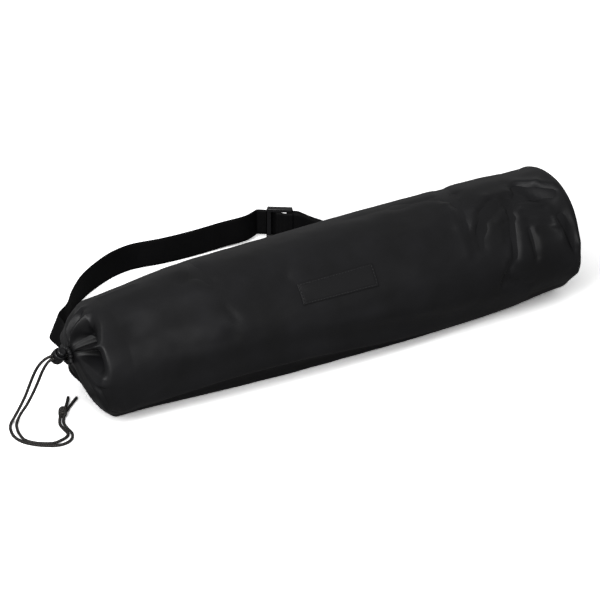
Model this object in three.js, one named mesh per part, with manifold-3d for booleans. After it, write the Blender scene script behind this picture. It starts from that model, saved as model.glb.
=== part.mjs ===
// Yoga mat bag, lying on a table with its mouth drawn shut and its strap laid behind it.
// Millimetres, +Z up. X runs along the bag, from the mouth (-X) to the base (+X), and +Y is the strap's side.
// The origin is on the table, under the middle of the bag.

import * as THREE from 'three';
import { mergeVertices } from 'three/addons/utils/BufferGeometryUtils.js';
import Module from 'manifold-3d';

// Sizes of the cloth bag
const bagLength = 620;
const bagRadius = 80;
const clothWall = 1.6;
const baseCorner = 9;
const baseBulge = 4;
const gatherReach = 45;
const mouthRadius = 8;
const mouthHeight = 81;
const sewnGap = 0.3;

// Sizes of the drawn hem round the mouth
const hemHoleRadius = 5.5;
const hemRadius = 11;
const hemDepth = 6.5;
const hemRuffle = 1.6;
const hemRuffles = 9;

// Sizes of the label
const labelLength = 103;
const labelHeight = 27;
const labelWall = 1;

// Sizes of the draw cord and its lock
const cordDiameter = 3.8;
const cordSpacing = 4.1;
const knotLength = 13;
const knotRadius = 5.4;
const lockRadius = 8.5;
const lockHalfHeight = 10.5;
const lockRim = 7;
const lockBoreRadius = 5.8;
const lockFloor = 2.4;
const slidingGap = 0.3;
const lockGap = 1.2;
const buttonTop = 12;
const buttonTravel = 4;
const buttonWeb = 1.5;
const buttonEdge = 1.6;
const buttonDish = 0.3;

// Sizes of the strap and its slider
const strapWidth = 32;
const strapWall = 1.6;
const strapSpread = 290;
const tailLength = 60;
const foldLength = 30;
const sliderLength = 30;
const sliderRail = 5;
const sliderBar = 4.5;
const sliderWall = 3.5;
const sliderEndHeight = 4.2;
const sliderEndWall = 8;
const layerGap = 0.45;

// Filled girth of the bag. along is a share of bagLength from the base, radius and height are shares of
// bagRadius.
const girths = [
  { along: 0.00, radius: 0.985, height: 0.985 },
  { along: 0.03, radius: 0.980, height: 0.968 },
  { along: 0.07, radius: 0.978, height: 0.935 },
  { along: 0.12, radius: 0.995, height: 0.900 },
  { along: 0.18, radius: 1.006, height: 0.877 },
  { along: 0.26, radius: 1.022, height: 0.858 },
  { along: 0.38, radius: 1.041, height: 0.844 },
  { along: 0.54, radius: 1.030, height: 0.844 },
  { along: 0.65, radius: 1.019, height: 0.850 },
  { along: 0.79, radius: 0.993, height: 0.870 },
  { along: 0.92, radius: 0.927, height: 0.841 },
  { along: 1.00, radius: 0.896, height: 0.810 },
];

// The long crease low on the front, with its lip and the flat tuck under it. around is in degrees from the
// top towards the front, lip and tuck are shares of bagRadius.
const creaseLine = [
  { along: 0.00, around: 136, lip: 0.000, tuck: 0.000 },
  { along: 0.17, around: 136, lip: 0.000, tuck: 0.005 },
  { along: 0.27, around: 130, lip: 0.012, tuck: 0.025 },
  { along: 0.36, around: 124, lip: 0.030, tuck: 0.050 },
  { along: 0.46, around: 119, lip: 0.045, tuck: 0.075 },
  { along: 0.55, around: 115, lip: 0.050, tuck: 0.085 },
  { along: 0.64, around: 112, lip: 0.050, tuck: 0.090 },
  { along: 0.82, around: 115, lip: 0.050, tuck: 0.080 },
  { along: 0.94, around: 123, lip: 0.045, tuck: 0.050 },
  { along: 1.00, around: 126, lip: 0.030, tuck: 0.030 },
];

// Folds and dents. along is a share of bagLength, around is in degrees, long, wide and rise are shares of
// bagRadius, and turn is the fold's angle in degrees from the bag's axis.
const folds = [
  { along: 0.218, around: 0, long: 0.32, wide: 0.11, rise: -0.050, turn: 67 },
  { along: 0.310, around: 12, long: 0.55, wide: 0.26, rise: -0.030, turn: 0 },
  { along: 0.126, around: 29, long: 0.18, wide: 0.14, rise: -0.050, turn: 20 },
  { along: 0.214, around: 46, long: 0.22, wide: 0.10, rise: -0.035, turn: 58 },
  { along: 0.148, around: 55, long: 0.24, wide: 0.10, rise: -0.040, turn: 80 },
  { along: 0.110, around: 65, long: 0.20, wide: 0.10, rise: -0.035, turn: 101 },
  { along: 0.170, around: 84, long: 0.30, wide: 0.10, rise: -0.030, turn: -10 },
  { along: 0.068, around: 28, long: 0.36, wide: 0.12, rise: -0.060, turn: 125 },
  { along: 0.005, around: 345, long: 0.80, wide: 0.75, rise: -0.105, turn: 90 },
  { along: 0.021, around: 70, long: 0.20, wide: 0.10, rise: -0.060, turn: 90 },
  { along: 0.416, around: 90, long: 1.70, wide: 0.13, rise: 0.032, turn: 0 },
  { along: 0.416, around: 104, long: 1.60, wide: 0.20, rise: -0.035, turn: 0 },
  { along: 0.784, around: 4, long: 0.30, wide: 0.12, rise: -0.030, turn: 86 },
  { along: 0.830, around: 10, long: 0.32, wide: 0.20, rise: -0.020, turn: 0 },
  { along: 0.782, around: 75, long: 0.20, wide: 0.10, rise: -0.022, turn: -50 },
  { along: 0.977, around: 40, long: 0.25, wide: 0.18, rise: -0.030, turn: 0 },
  { along: 0.985, around: 215, long: 0.30, wide: 0.50, rise: -0.060, turn: 0 },
  { along: 0.120, around: 285, long: 0.40, wide: 0.13, rise: -0.045, turn: 70 },
  { along: 0.340, around: 262, long: 0.90, wide: 0.16, rise: -0.035, turn: 8 },
  { along: 0.620, around: 290, long: 0.60, wide: 0.16, rise: -0.030, turn: -20 },
  { along: 0.850, around: 270, long: 0.45, wide: 0.14, rise: -0.040, turn: 24 },
];

// Pleats of the drawn mouth end, straight from one row's angle to the next. around is in degrees, rise is a
// share of gatherReach.
const pleats = [
  { around: 0, rise: -0.14 },
  { around: 3, rise: -0.18 },
  { around: 12, rise: -0.34 },
  { around: 20, rise: -0.46 },
  { around: 29, rise: -0.57 },
  { around: 37, rise: -0.46 },
  { around: 46, rise: 0.05 },
  { around: 54, rise: -0.30 },
  { around: 63, rise: -0.52 },
  { around: 72, rise: -0.48 },
  { around: 80, rise: -0.12 },
  { around: 89, rise: 0.02 },
  { around: 97, rise: 0.03 },
  { around: 114, rise: 0.02 },
  { around: 132, rise: 0.05 },
  { around: 140, rise: -0.06 },
  { around: 149, rise: 0.05 },
  { around: 157, rise: -0.06 },
  { around: 166, rise: 0.06 },
  { around: 175, rise: -0.07 },
  { around: 183, rise: 0.06 },
  { around: 192, rise: -0.08 },
  { around: 200, rise: 0.07 },
  { around: 209, rise: -0.08 },
  { around: 217, rise: 0.07 },
  { around: 226, rise: -0.08 },
  { around: 234, rise: 0.07 },
  { around: 243, rise: -0.08 },
  { around: 252, rise: 0.08 },
  { around: 260, rise: -0.07 },
  { around: 269, rise: 0.07 },
  { around: 277, rise: -0.09 },
  { around: 286, rise: 0.07 },
  { around: 294, rise: -0.03 },
  { around: 303, rise: -0.06 },
  { around: 312, rise: -0.12 },
  { around: 320, rise: -0.10 },
  { around: 329, rise: -0.02 },
  { around: 337, rise: 0.02 },
  { around: 346, rise: 0.12 },
  { around: 354, rise: 0.00 },
  { around: 360, rise: -0.14 },
];

// How full the mouth end is round the bag, in degrees: 1 is a straight cone, higher is squarer at the
// shoulder
const fullness = [
  { around: -60, power: 1.50 },
  { around: -40, power: 1.30 },
  { around: 0, power: 2.20 },
  { around: 25, power: 3.60 },
  { around: 46, power: 6.00 },
  { around: 85, power: 6.00 },
  { around: 105, power: 4.00 },
  { around: 125, power: 2.50 },
  { around: 150, power: 1.30 },
  { around: 180, power: 1.05 },
  { around: 225, power: 1.05 },
  { around: 270, power: 1.30 },
  { around: 300, power: 1.50 },
];

// Where the strap lies. along is a share of half the bag's length, away is a share of strapSpread, and lean
// is in degrees, positive when the top edge leans to the left of the way it runs.
const strapRoute = [
  { along: -0.952, away: 0.330, lean: 0 },
  { along: -0.905, away: 0.430, lean: -4 },
  { along: -0.868, away: 0.548, lean: -12 },
  { along: -0.848, away: 0.638, lean: -20 },
  { along: -0.767, away: 0.690, lean: -6 },
  { along: -0.700, away: 0.767, lean: -3 },
  { along: -0.590, away: 0.870, lean: 2 },
  { along: -0.480, away: 0.940, lean: 5 },
  { along: -0.380, away: 0.985, lean: 7 },
  { along: -0.290, away: 1.000, lean: 8 },
  { along: -0.170, away: 0.980, lean: 8 },
  { along: -0.040, away: 0.970, lean: 8 },
  { along: 0.090, away: 0.964, lean: 7 },
  { along: 0.200, away: 0.954, lean: 4 },
];
const sliderAlong = 0.325;
const sliderAway = 0.910;
const sliderTurn = -36;
const shortRoute = [
  { along: 0.405, away: 0.800, lean: 0 },
  { along: 0.450, away: 0.710, lean: 0 },
  { along: 0.520, away: 0.600, lean: 0 },
  { along: 0.630, away: 0.480, lean: 0 },
  { along: 0.760, away: 0.385, lean: 0 },
  { along: 0.880, away: 0.320, lean: 0 },
];
const mouthEndAlong = -0.962;
const mouthEndAway = 0.5;
const baseEndAlong = 0.968;
const baseEndAway = 0.6;

// Points of the draw cord past its lock, chosen by hand along the way that it hangs and lies
const outerRoute = [
  [-387.5, 0.8, 84], [-392, 4, 78.5], [-395, 9, 69.5], [-397.5, 13.5, 58], [-400, 17.5, 45],
  [-404, 20, 31.5], [-410, 22, 18],
  [-417, 22.5, 7], [-426, 17, 1.9], [-436, 0, 1.9], [-440, -16, 1.9], [-438, -31, 1.9], [-430, -44, 1.9],
  [-420, -53, 1.9], [-410, -59, 1.9], [-398, -60, 1.9], [-386, -54, 1.9], [-378, -42, 1.9],
  [-376, -29, 1.9], [-373, -16, 1.9], [-368.5, -7.5, 2.2], [-364.3, -1.75, 3.2],
];
const innerRoute = [
  [-385.5, -2.8, 81.5], [-389, -0.5, 75.5], [-391.5, 3.5, 65.5], [-394, 8, 52], [-399, 12, 36],
  [-405, 16, 21],
  [-412, 19, 9], [-419, 15, 2], [-427, 1, 1.9], [-432, -14, 1.9], [-433.5, -28, 1.9], [-427.5, -39.5, 1.9],
  [-418.5, -47.5, 1.9], [-408.5, -52, 1.9], [-397, -50, 1.9], [-388.2, -46.2, 1.9], [-382.6, -40.6, 1.9],
  [-380.6, -28.3, 1.9], [-377.9, -15.2, 1.9], [-372.3, -5, 2.2], [-368, 0.9, 3.2],
];
const knotCentre = [-362.2, 4.6, 5.5];
const knotWay = [0.55, 0.83, 0];
const tailRoutes = [
  [[-357, 11, 3.8], [-350.8, 17.8, 2.1], [-342, 28, 1.9], [-333, 40, 1.9]],
  [[-354.2, 8.8, 3.8], [-347.8, 15.4, 2.1], [-337, 24.5, 1.9], [-325, 34, 1.9]],
];

const wasm = await Module();
wasm.setup();

const halfLength = bagLength / 2;
const shoulderX = -halfLength;
const rad = THREE.MathUtils.degToRad;
const smooth = THREE.MathUtils.smoothstep;

// Reads a column of a table at a place along its rows, with a smooth curve through them.
function readTable(rows, at, column, key = 'along') {
  const last = rows.length - 1;
  const place = THREE.MathUtils.clamp(at, rows[0][key], rows[last][key]);
  let i = 0;
  while (i < last - 1 && place > rows[i + 1][key]) i += 1;
  const slope = (k) => {
    const a = rows[Math.max(k - 1, 0)];
    const b = rows[Math.min(k + 1, last)];
    return (b[column] - a[column]) / (b[key] - a[key]);
  };
  const span = rows[i + 1][key] - rows[i][key];
  const t = (place - rows[i][key]) / span;
  const t2 = t * t;
  const t3 = t2 * t;
  return (2 * t3 - 3 * t2 + 1) * rows[i][column] + (t3 - 2 * t2 + t) * span * slope(i)
    + (3 * t2 - 2 * t3) * rows[i + 1][column] + (t3 - t2) * span * slope(i + 1);
}

// Signed difference of two angles in degrees, between -180 and 180.
function turnBetween(a, b) {
  return ((a - b + 540) % 360) - 180;
}

// One of the cloth's grid lines follows the crease, and the lines beside it move along with it.
const creaseLineAngle = 114.5;
function creaseShift(along, angle) {
  const pull = smooth(angle, 50, creaseLineAngle) * (1 - smooth(angle, creaseLineAngle, 178));
  return (readTable(creaseLine, along, 'around') - creaseLineAngle) * pull;
}

function creaseRise(along, angle) {
  const past = angle - creaseLineAngle;
  const lip = readTable(creaseLine, along, 'lip');
  const tuck = readTable(creaseLine, along, 'tuck');
  const edge = Math.exp(-((past / (past < 0 ? 10 : 6)) ** 2));
  const hollow = 0.35 * Math.exp(-(((past + 20) / 9) ** 2));
  const under = smooth(past, 0, 12) * (1 - smooth(past, 16, 40));
  return bagRadius * (lip * (edge - hollow) - tuck * under);
}

function foldRise(along, angle) {
  let rise = 0;
  for (const fold of folds) {
    const down = (along - fold.along) * bagLength / bagRadius;
    const over = rad(turnBetween(angle, fold.around));
    const c = Math.cos(rad(fold.turn));
    const s = Math.sin(rad(fold.turn));
    const u = (down * c + over * s) / fold.long;
    const v = (over * c - down * s) / fold.wide;
    rise += fold.rise * Math.exp(-u * u - v * v);
  }
  return rise * bagRadius;
}

// What the pleats add. They start further down where the end is squarer, past its shoulder.
function gatherRise(share, angle, power) {
  const start = THREE.MathUtils.mapLinear(THREE.MathUtils.clamp(power, 1.5, 6), 1.5, 6, 0.16, 0.38);
  const grown = smooth(share, start, 0.58) * (1 - smooth(share, 0.72, 0.98));
  const next = Math.max(pleats.findIndex((row) => row.around >= angle), 1);
  const [low, high] = [pleats[next - 1], pleats[next]];
  const rise = THREE.MathUtils.mapLinear(angle, low.around, high.around, low.rise, high.rise);
  return grown * rise * gatherReach;
}

// A point of the cloth. part is 'base', 'tube' or 'end', share runs from 0 to 1 over that part towards the
// mouth, angle is in degrees from the top towards the front, and depth is measured inwards from the outside.
function clothPoint(part, share, angle, depth) {
  const cornerShare = baseCorner / bagLength;
  let along = cornerShare;
  let x = halfLength - baseCorner;
  let radius = 0;
  let height = 0;
  let ahead = 0;
  let out = 1;
  let end = 0;
  let power = 1;
  if (part === 'base') {
    const q = (1 - share) * Math.PI / 2;
    ahead = Math.sin(q);
    out = Math.cos(q);
    x += baseCorner * ahead;
    along -= ahead * cornerShare;
    radius = bagRadius * readTable(girths, cornerShare, 'radius') - baseCorner * (1 - out);
    height = bagRadius * readTable(girths, cornerShare, 'height');
  } else if (part === 'tube') {
    along += share * (1 - cornerShare);
    x = halfLength - along * bagLength;
    radius = bagRadius * readTable(girths, along, 'radius');
    height = bagRadius * readTable(girths, along, 'height');
  } else {
    power = readTable(fullness, angle > 300 ? angle - 360 : angle, 'power', 'around');
    const q = share * Math.PI / 2;
    const even = (Math.sin(q) ** power + Math.max(Math.cos(q), 0) ** power) ** (1 / power);
    const u = Math.sin(q) / even;
    const w = Math.max(Math.cos(q), 0) / even;
    const shoulderRadius = bagRadius * readTable(girths, 1, 'radius');
    const shoulderHeight = bagRadius * readTable(girths, 1, 'height');
    along = 1;
    x = shoulderX - gatherReach * u;
    radius = mouthRadius + (shoulderRadius - mouthRadius) * w;
    height = shoulderHeight + (mouthHeight - shoulderHeight) * smooth(1 - w, 0, 1);
    ahead = -(u ** (power - 1)) / gatherReach;
    out = (w ** (power - 1)) / (shoulderRadius - mouthRadius);
    const size = Math.hypot(ahead, out);
    ahead /= size;
    out /= size;
    end = share;
  }
  const fade = 1 - smooth(end, 0, 0.8);
  const rise = fade * (creaseRise(along, angle) + foldRise(along, angle)) + gatherRise(end, angle, power);
  const turned = rad(angle + fade * creaseShift(along, angle));
  const far = radius + (part === 'end' ? rise * out : rise) - depth * out;
  const z = height + far * Math.cos(turned);
  const front = x + (part === 'end' ? rise * ahead : 0) - depth * ahead;
  return new THREE.Vector3(front, -far * Math.sin(turned), Math.max(z, depth));
}

// Joins rings of points into a closed solid. Each ring is a closed loop that runs clockwise seen along the
// way from ring to ring, and the ends are closed with fans, or joined to each other.
function loft(rings, joined = false) {
  const count = rings[0].length;
  const positions = rings.flat().flatMap((p) => [p.x, p.y, p.z]);
  const faces = [];
  const steps = joined ? rings.length : rings.length - 1;
  for (let i = 0; i < steps; i += 1) {
    const next = (i + 1) % rings.length;
    for (let k = 0; k < count; k += 1) {
      const a = i * count + k;
      const b = i * count + (k + 1) % count;
      const c = next * count + k;
      const d = next * count + (k + 1) % count;
      faces.push(a, c, b, b, c, d);
    }
  }
  if (!joined) {
    const last = (rings.length - 1) * count;
    for (let k = 1; k < count - 1; k += 1) {
      faces.push(0, k, k + 1);
      faces.push(last, last + k + 1, last + k);
    }
  }
  return asGeometry(positions, faces);
}

// Joins an outer and an inner grid of points into a closed sheet. wrapped sheets close round each row.
function sheet(outer, inner, wrapped) {
  const rows = outer.length;
  const count = outer[0].length;
  const positions = [...outer, ...inner].flat().flatMap((p) => [p.x, p.y, p.z]);
  const shift = rows * count;
  const faces = [];
  const steps = wrapped ? count : count - 1;
  for (let i = 0; i < rows - 1; i += 1) {
    for (let k = 0; k < steps; k += 1) {
      const a = i * count + k;
      const b = i * count + (k + 1) % count;
      faces.push(a, a + count, b, b, a + count, b + count);
      faces.push(a + shift, b + shift, a + count + shift, b + shift, b + count + shift, a + count + shift);
    }
  }
  const top = (rows - 1) * count;
  for (let k = 0; k < steps; k += 1) {
    const b = (k + 1) % count;
    faces.push(k, b, k + shift, b, b + shift, k + shift);
    faces.push(top + k, top + k + shift, top + b, top + b, top + k + shift, top + b + shift);
  }
  if (!wrapped) {
    for (let i = 0; i < rows - 1; i += 1) {
      const a = i * count;
      const b = a + count;
      const far = count - 1;
      faces.push(a, a + shift, b, b, a + shift, b + shift);
      faces.push(a + far, b + far, a + far + shift, b + far, b + far + shift, a + far + shift);
    }
  }
  return asGeometry(positions, faces);
}

function asGeometry(positions, faces) {
  const geometry = new THREE.BufferGeometry();
  geometry.setAttribute('position', new THREE.Float32BufferAttribute(positions, 3));
  geometry.setIndex(faces);
  return geometry;
}

// Turns a closed geometry into a solid that can be cut, and back.
function asSolid(geometry) {
  const plain = geometry.clone();
  plain.deleteAttribute('normal');
  plain.deleteAttribute('uv');
  const merged = mergeVertices(plain, 1e-4);
  return new wasm.Manifold(new wasm.Mesh({
    numProp: 3,
    vertProperties: new Float32Array(merged.attributes.position.array),
    triVerts: new Uint32Array(merged.index.array),
  }));
}

function fromSolid(solid) {
  const mesh = solid.getMesh();
  return asGeometry(Array.from(mesh.vertProperties), Array.from(mesh.triVerts));
}

const group = new THREE.Group();

function addPiece(name, geometry, color, roughness) {
  const finish = geometry.attributes.normal ? geometry : geometry.clone();
  if (!finish.attributes.normal) finish.computeVertexNormals();
  const mesh = new THREE.Mesh(finish, new THREE.MeshStandardMaterial({ color, roughness, metalness: 0 }));
  mesh.name = name;
  group.add(mesh);
  return mesh;
}

const nylon = '#242426';
const webbing = '#1c1c1e';
const moulded = '#121214';

// The tube of cloth: rows stand closer at the base corner and at the shoulder, where it is folded most
const aroundSteps = 42;
const tubeSteps = 26;
const endSteps = 9;
const rowCrowding = 0.55;
const clothRows = [{ part: 'base', share: 0 }, { part: 'base', share: 0.5 }];
for (let i = 0; i < tubeSteps; i += 1) {
  const t = i / tubeSteps;
  clothRows.push({ part: 'tube', share: t - rowCrowding * Math.sin(2 * Math.PI * t) / (2 * Math.PI) });
}
for (let i = 0; i <= endSteps; i += 1) clothRows.push({ part: 'end', share: i / endSteps });

function clothGrid(depth) {
  return clothRows.map((row) => Array.from({ length: aroundSteps }, (_, k) => {
    const angle = creaseLineAngle + k * 360 / aroundSteps;
    return clothPoint(row.part, row.share, angle % 360, depth);
  }));
}
addPiece('bag_body', sheet(clothGrid(0), clothGrid(clothWall), true), nylon, 0.55);

// The round panel that closes the base, set inside the tube's turned edge and pushed out a little
const panelRings = [1, 0.72, 0.4, 0.12];
function panelPoint(share, angle, depth) {
  const rim = clothPoint('base', 0, angle, 0);
  const middle = new THREE.Vector3(rim.x, 0, bagRadius * readTable(girths, 0, 'height'));
  const radial = rim.clone().sub(middle);
  const reach = radial.length() - sewnGap;
  const point = middle.clone().add(radial.normalize().multiplyScalar(reach * share));
  point.x += baseBulge * (1 - share * share) - depth;
  return point;
}
function panelGrid(depth) {
  return panelRings.map((share) => Array.from({ length: aroundSteps }, (_, k) => {
    const angle = creaseLineAngle + k * 360 / aroundSteps;
    return panelPoint(share, angle % 360, depth);
  }));
}
const panelLoops = [...panelGrid(0).reverse(), ...panelGrid(clothWall)];
addPiece('base_panel', loft(panelLoops), nylon, 0.55);

// The drawn hem: a ruffled ring of doubled cloth in front of the mouth
const hemSteps = hemRuffles * 4;
const hemSides = 8;
const mouthFace = shoulderX - gatherReach;
const hemBack = mouthFace - sewnGap;
const hemLoops = Array.from({ length: hemSteps }, (_, i) => {
  const angle = 2 * Math.PI * i / hemSteps;
  const ruffle = hemRuffle * Math.cos(hemRuffles * angle);
  return Array.from({ length: hemSides }, (_, k) => {
    const turn = 2 * Math.PI * k / hemSides;
    const half = (hemRadius - hemHoleRadius) / 2;
    const swell = ruffle * (0.5 + 0.5 * Math.cos(turn));
    const far = hemHoleRadius + half + (half + swell) * Math.cos(turn);
    const deep = hemBack - hemDepth / 2 + hemDepth / 2 * Math.sin(turn);
    return new THREE.Vector3(deep, far * Math.sin(angle), mouthHeight + far * Math.cos(angle));
  });
});
addPiece('mouth_casing', loft(hemLoops.reverse(), true), nylon, 0.6);

// The label follows the cloth of the front, just above the middle of its height
const labelAlong = 0.542;
const labelAround = 55.5;
const labelColumns = 14;
const labelRows = 4;
function labelGrid(depth) {
  return Array.from({ length: labelColumns + 1 }, (_, i) => {
    const share = labelAlong + (i / labelColumns - 0.5) * labelLength / bagLength;
    return Array.from({ length: labelRows + 1 }, (_, k) => {
      const radius = bagRadius * readTable(girths, share, 'radius');
      const angle = labelAround + (k / labelRows - 0.5) * THREE.MathUtils.radToDeg(labelHeight / radius);
      const cornerShare = baseCorner / bagLength;
      return clothPoint('tube', (share - cornerShare) / (1 - cornerShare), angle, depth);
    });
  });
}
addPiece('label', sheet(labelGrid(-sewnGap - labelWall), labelGrid(-sewnGap), false), '#0c0c0d', 0.7);

// The cord leaves the hem through its hole, against the hole's upper edge
const cordExitReach = hemHoleRadius - cordDiameter / 2 - 2 * slidingGap;
const cordExitRise = Math.sqrt(cordExitReach ** 2 - (cordSpacing / 2) ** 2);

// The cord lock's own directions: cordWay is the way the cord runs out, pressWay the way the button stands
const pressWay = new THREE.Vector3(0.1, -0.6, 0.79).normalize();
const cordWay = new THREE.Vector3(-0.95, 0.2, -0.3);
cordWay.addScaledVector(pressWay, -cordWay.dot(pressWay)).normalize();
const sideWay = new THREE.Vector3().crossVectors(cordWay, pressWay);
const hemFront = hemBack - hemDepth;
const lockAway = hemDepth / 2 + lockGap + lockRadius;
const lockCentre = new THREE.Vector3(hemFront + hemDepth / 2, 0, mouthHeight + cordExitRise)
  .addScaledVector(cordWay, lockAway / -cordWay.x);
const lockPlace = new THREE.Group();
lockPlace.quaternion.setFromRotationMatrix(new THREE.Matrix4().makeBasis(cordWay, pressWay, sideWay));
lockPlace.position.copy(lockCentre);
group.add(lockPlace);

// A slot for both strands, side by side, through a piece of the lock, from low to high on its axis
function cordSlot(low, high) {
  const slot = new THREE.BoxGeometry(4 * lockRadius, high - low, cordSpacing + cordDiameter + 2 * slidingGap);
  slot.translate(0, (low + high) / 2, 0);
  return asSolid(slot);
}

// Barrel of the lock: a superellipse turned round its axis, open at the top for the button
const lockSides = 24;
const bellyPower = 3;
const barrelOutline = [new THREE.Vector2(0, -lockHalfHeight)];
const barrelSteps = 9;
for (let i = 1; i <= barrelSteps; i += 1) {
  const y = -lockHalfHeight + (lockRim + lockHalfHeight) * (i / barrelSteps) ** 1.6;
  const r = lockRadius * (1 - (Math.abs(y) / lockHalfHeight) ** bellyPower) ** (1 / bellyPower);
  barrelOutline.push(new THREE.Vector2(r, y));
}
barrelOutline.push(new THREE.Vector2(lockBoreRadius, lockRim));
barrelOutline.push(new THREE.Vector2(lockBoreRadius, -lockHalfHeight + lockFloor));
barrelOutline.push(new THREE.Vector2(0, -lockHalfHeight + lockFloor));
const barrel = asSolid(new THREE.LatheGeometry(barrelOutline, lockSides));
const cordHalf = cordDiameter / 2 + slidingGap;
const barrelGeometry = fromSolid(barrel.subtract(cordSlot(-cordHalf, cordHalf)));
const lockBody = addPiece('cord_lock_body', barrelGeometry, moulded, 0.3);
lockPlace.add(lockBody);

// Button: a plunger whose slot lets the cord run free when it is pressed
const buttonRadius = lockBoreRadius - slidingGap;
const buttonFoot = -cordHalf - buttonWeb;
const buttonOutline = [
  new THREE.Vector2(0, buttonFoot),
  new THREE.Vector2(buttonRadius, buttonFoot),
  new THREE.Vector2(buttonRadius, buttonTop - buttonEdge),
  new THREE.Vector2(buttonRadius - 0.3 * buttonEdge, buttonTop - 0.3 * buttonEdge),
  new THREE.Vector2(buttonRadius - buttonEdge, buttonTop),
  new THREE.Vector2(0, buttonTop - buttonDish),
];
const plunger = asSolid(new THREE.LatheGeometry(buttonOutline, lockSides));
const buttonGeometry = fromSolid(plunger.subtract(cordSlot(-cordHalf, cordHalf + buttonTravel)));
const lockButton = addPiece('cord_lock_button', buttonGeometry, moulded, 0.35);
lockPlace.add(lockButton);

// Draw cord: each strand comes out of the hem, runs straight through the lock, hangs down and lies on the
// table
function cordSection() {
  const sides = 8;
  const outline = new THREE.Shape();
  for (let k = 0; k < sides; k += 1) {
    const turn = 2 * Math.PI * (k + 0.5) / sides;
    const x = cordDiameter / 2 * Math.cos(turn);
    const y = cordDiameter / 2 * Math.sin(turn);
    if (k === 0) outline.moveTo(x, y);
    else outline.lineTo(x, y);
  }
  outline.closePath();
  return outline;
}
function cordStrand(name, side, route, steps) {
  const stops = [-lockRadius - 1, -lockRadius / 2, 0, lockRadius / 2, lockRadius + 1];
  const threaded = stops.map((t) => lockCentre.clone()
    .addScaledVector(cordWay, t)
    .addScaledVector(sideWay, side * cordSpacing / 2));
  const exit = new THREE.Vector3(hemBack - hemDepth / 2, side * cordSpacing / 2, mouthHeight + cordExitRise);
  const points = [exit, ...threaded, ...route.map((p) => new THREE.Vector3(...p))];
  const hung = new THREE.CatmullRomCurve3(points, false, 'centripetal').getSpacedPoints(2 * steps);
  const path = new THREE.CatmullRomCurve3(hung.map((p) => p.setZ(Math.max(p.z, cordDiameter / 2))));
  const settings = { steps, bevelEnabled: false, extrudePath: path };
  addPiece(name, new THREE.ExtrudeGeometry(cordSection(), settings), moulded, 0.8);
}
cordStrand('cord_strand_outer', 1, outerRoute, 48);
cordStrand('cord_strand_inner', -1, innerRoute, 46);

// Knot with its two cut tails, one solid
function tubeBetween(points, steps) {
  const path = new THREE.CatmullRomCurve3(points);
  const settings = { steps, bevelEnabled: false, extrudePath: path };
  return asSolid(new THREE.ExtrudeGeometry(cordSection(), settings));
}
const knotMiddle = new THREE.Vector3(...knotCentre);
const knotAxis = new THREE.Vector3(...knotWay).normalize();
const knotBall = new THREE.SphereGeometry(knotRadius, 12, 8);
knotBall.scale(1, knotLength / 2 / knotRadius, 1);
knotBall.applyQuaternion(new THREE.Quaternion().setFromUnitVectors(new THREE.Vector3(0, 1, 0), knotAxis));
knotBall.translate(...knotCentre);
let knot = asSolid(knotBall);
const tailTubeSteps = 7;
for (const route of tailRoutes) {
  knot = knot.add(tubeBetween([knotMiddle, ...route.map((p) => new THREE.Vector3(...p))], tailTubeSteps));
}
addPiece('cord_knot', fromSolid(knot), moulded, 0.8);

// Webbing laid on its edge: rings of four corners along a curve, each with its own lean
function webbingRings(stations) {
  return stations.map((station, i) => {
    const before = stations[Math.max(i - 1, 0)].place;
    const after = stations[Math.min(i + 1, stations.length - 1)].place;
    const way = after.clone().sub(before).setZ(0).normalize();
    const left = new THREE.Vector3(-way.y, way.x, 0);
    const lean = rad(station.lean);
    const up = new THREE.Vector3(0, 0, Math.cos(lean)).addScaledVector(left, Math.sin(lean));
    const face = new THREE.Vector3().crossVectors(way, up);
    const lift = strapWidth / 2 * Math.cos(lean) + strapWall / 2 * Math.abs(Math.sin(lean));
    const middle = station.place.clone().setZ(lift + (station.lift ?? 0));
    const corner = (a, b) => middle.clone()
      .addScaledVector(up, a * strapWidth / 2)
      .addScaledVector(face, b * strapWall / 2);
    return [corner(-1, -1), corner(-1, 1), corner(1, 1), corner(1, -1)];
  });
}

// How far out the back of the bag reaches at a corner of the webbing, with the seam's gap
function bagBack(corner) {
  const along = THREE.MathUtils.clamp((halfLength - corner.x) / bagLength, 0, 1);
  const radius = bagRadius * readTable(girths, along, 'radius');
  const drop = corner.z - bagRadius * readTable(girths, along, 'height');
  const angle = 360 - THREE.MathUtils.radToDeg(Math.acos(THREE.MathUtils.clamp(drop / radius, -1, 1)));
  const reach = radius + foldRise(along, angle) + sewnGap;
  return Math.sqrt(Math.max(reach ** 2 - drop ** 2, 0)) + sewnGap;
}

// Brings the sewn end, the ring numbered end, up to the cloth, and keeps the rest of the webbing off it.
const seamReach = 0.6;
const seatedRings = 12;
function seatOnBag(rings, end) {
  rings.forEach((ring, i) => {
    for (const corner of ring) {
      if (i === end) corner.y = Math.max(bagBack(corner), seamReach * bagRadius);
      else if (Math.abs(i - end) < seatedRings) corner.y = Math.max(corner.y, bagBack(corner) + sewnGap);
    }
  });
}

function routeStations(rows) {
  return rows.map((row) => ({
    place: new THREE.Vector3(row.along * halfLength, row.away * strapSpread, 0),
    lean: row.lean,
  }));
}

// Puts even stations on a smooth curve through the given ones
function evenStations(rows, count) {
  const path = new THREE.CatmullRomCurve3(rows.map((row) => row.place), false, 'centripetal');
  return Array.from({ length: count + 1 }, (_, i) => {
    const t = i / count;
    const at = t * (rows.length - 1);
    const low = Math.min(Math.floor(at), rows.length - 2);
    const lean = THREE.MathUtils.lerp(rows[low].lean, rows[low + 1].lean, at - low);
    return { place: path.getPoint(t), lean };
  });
}

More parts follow.
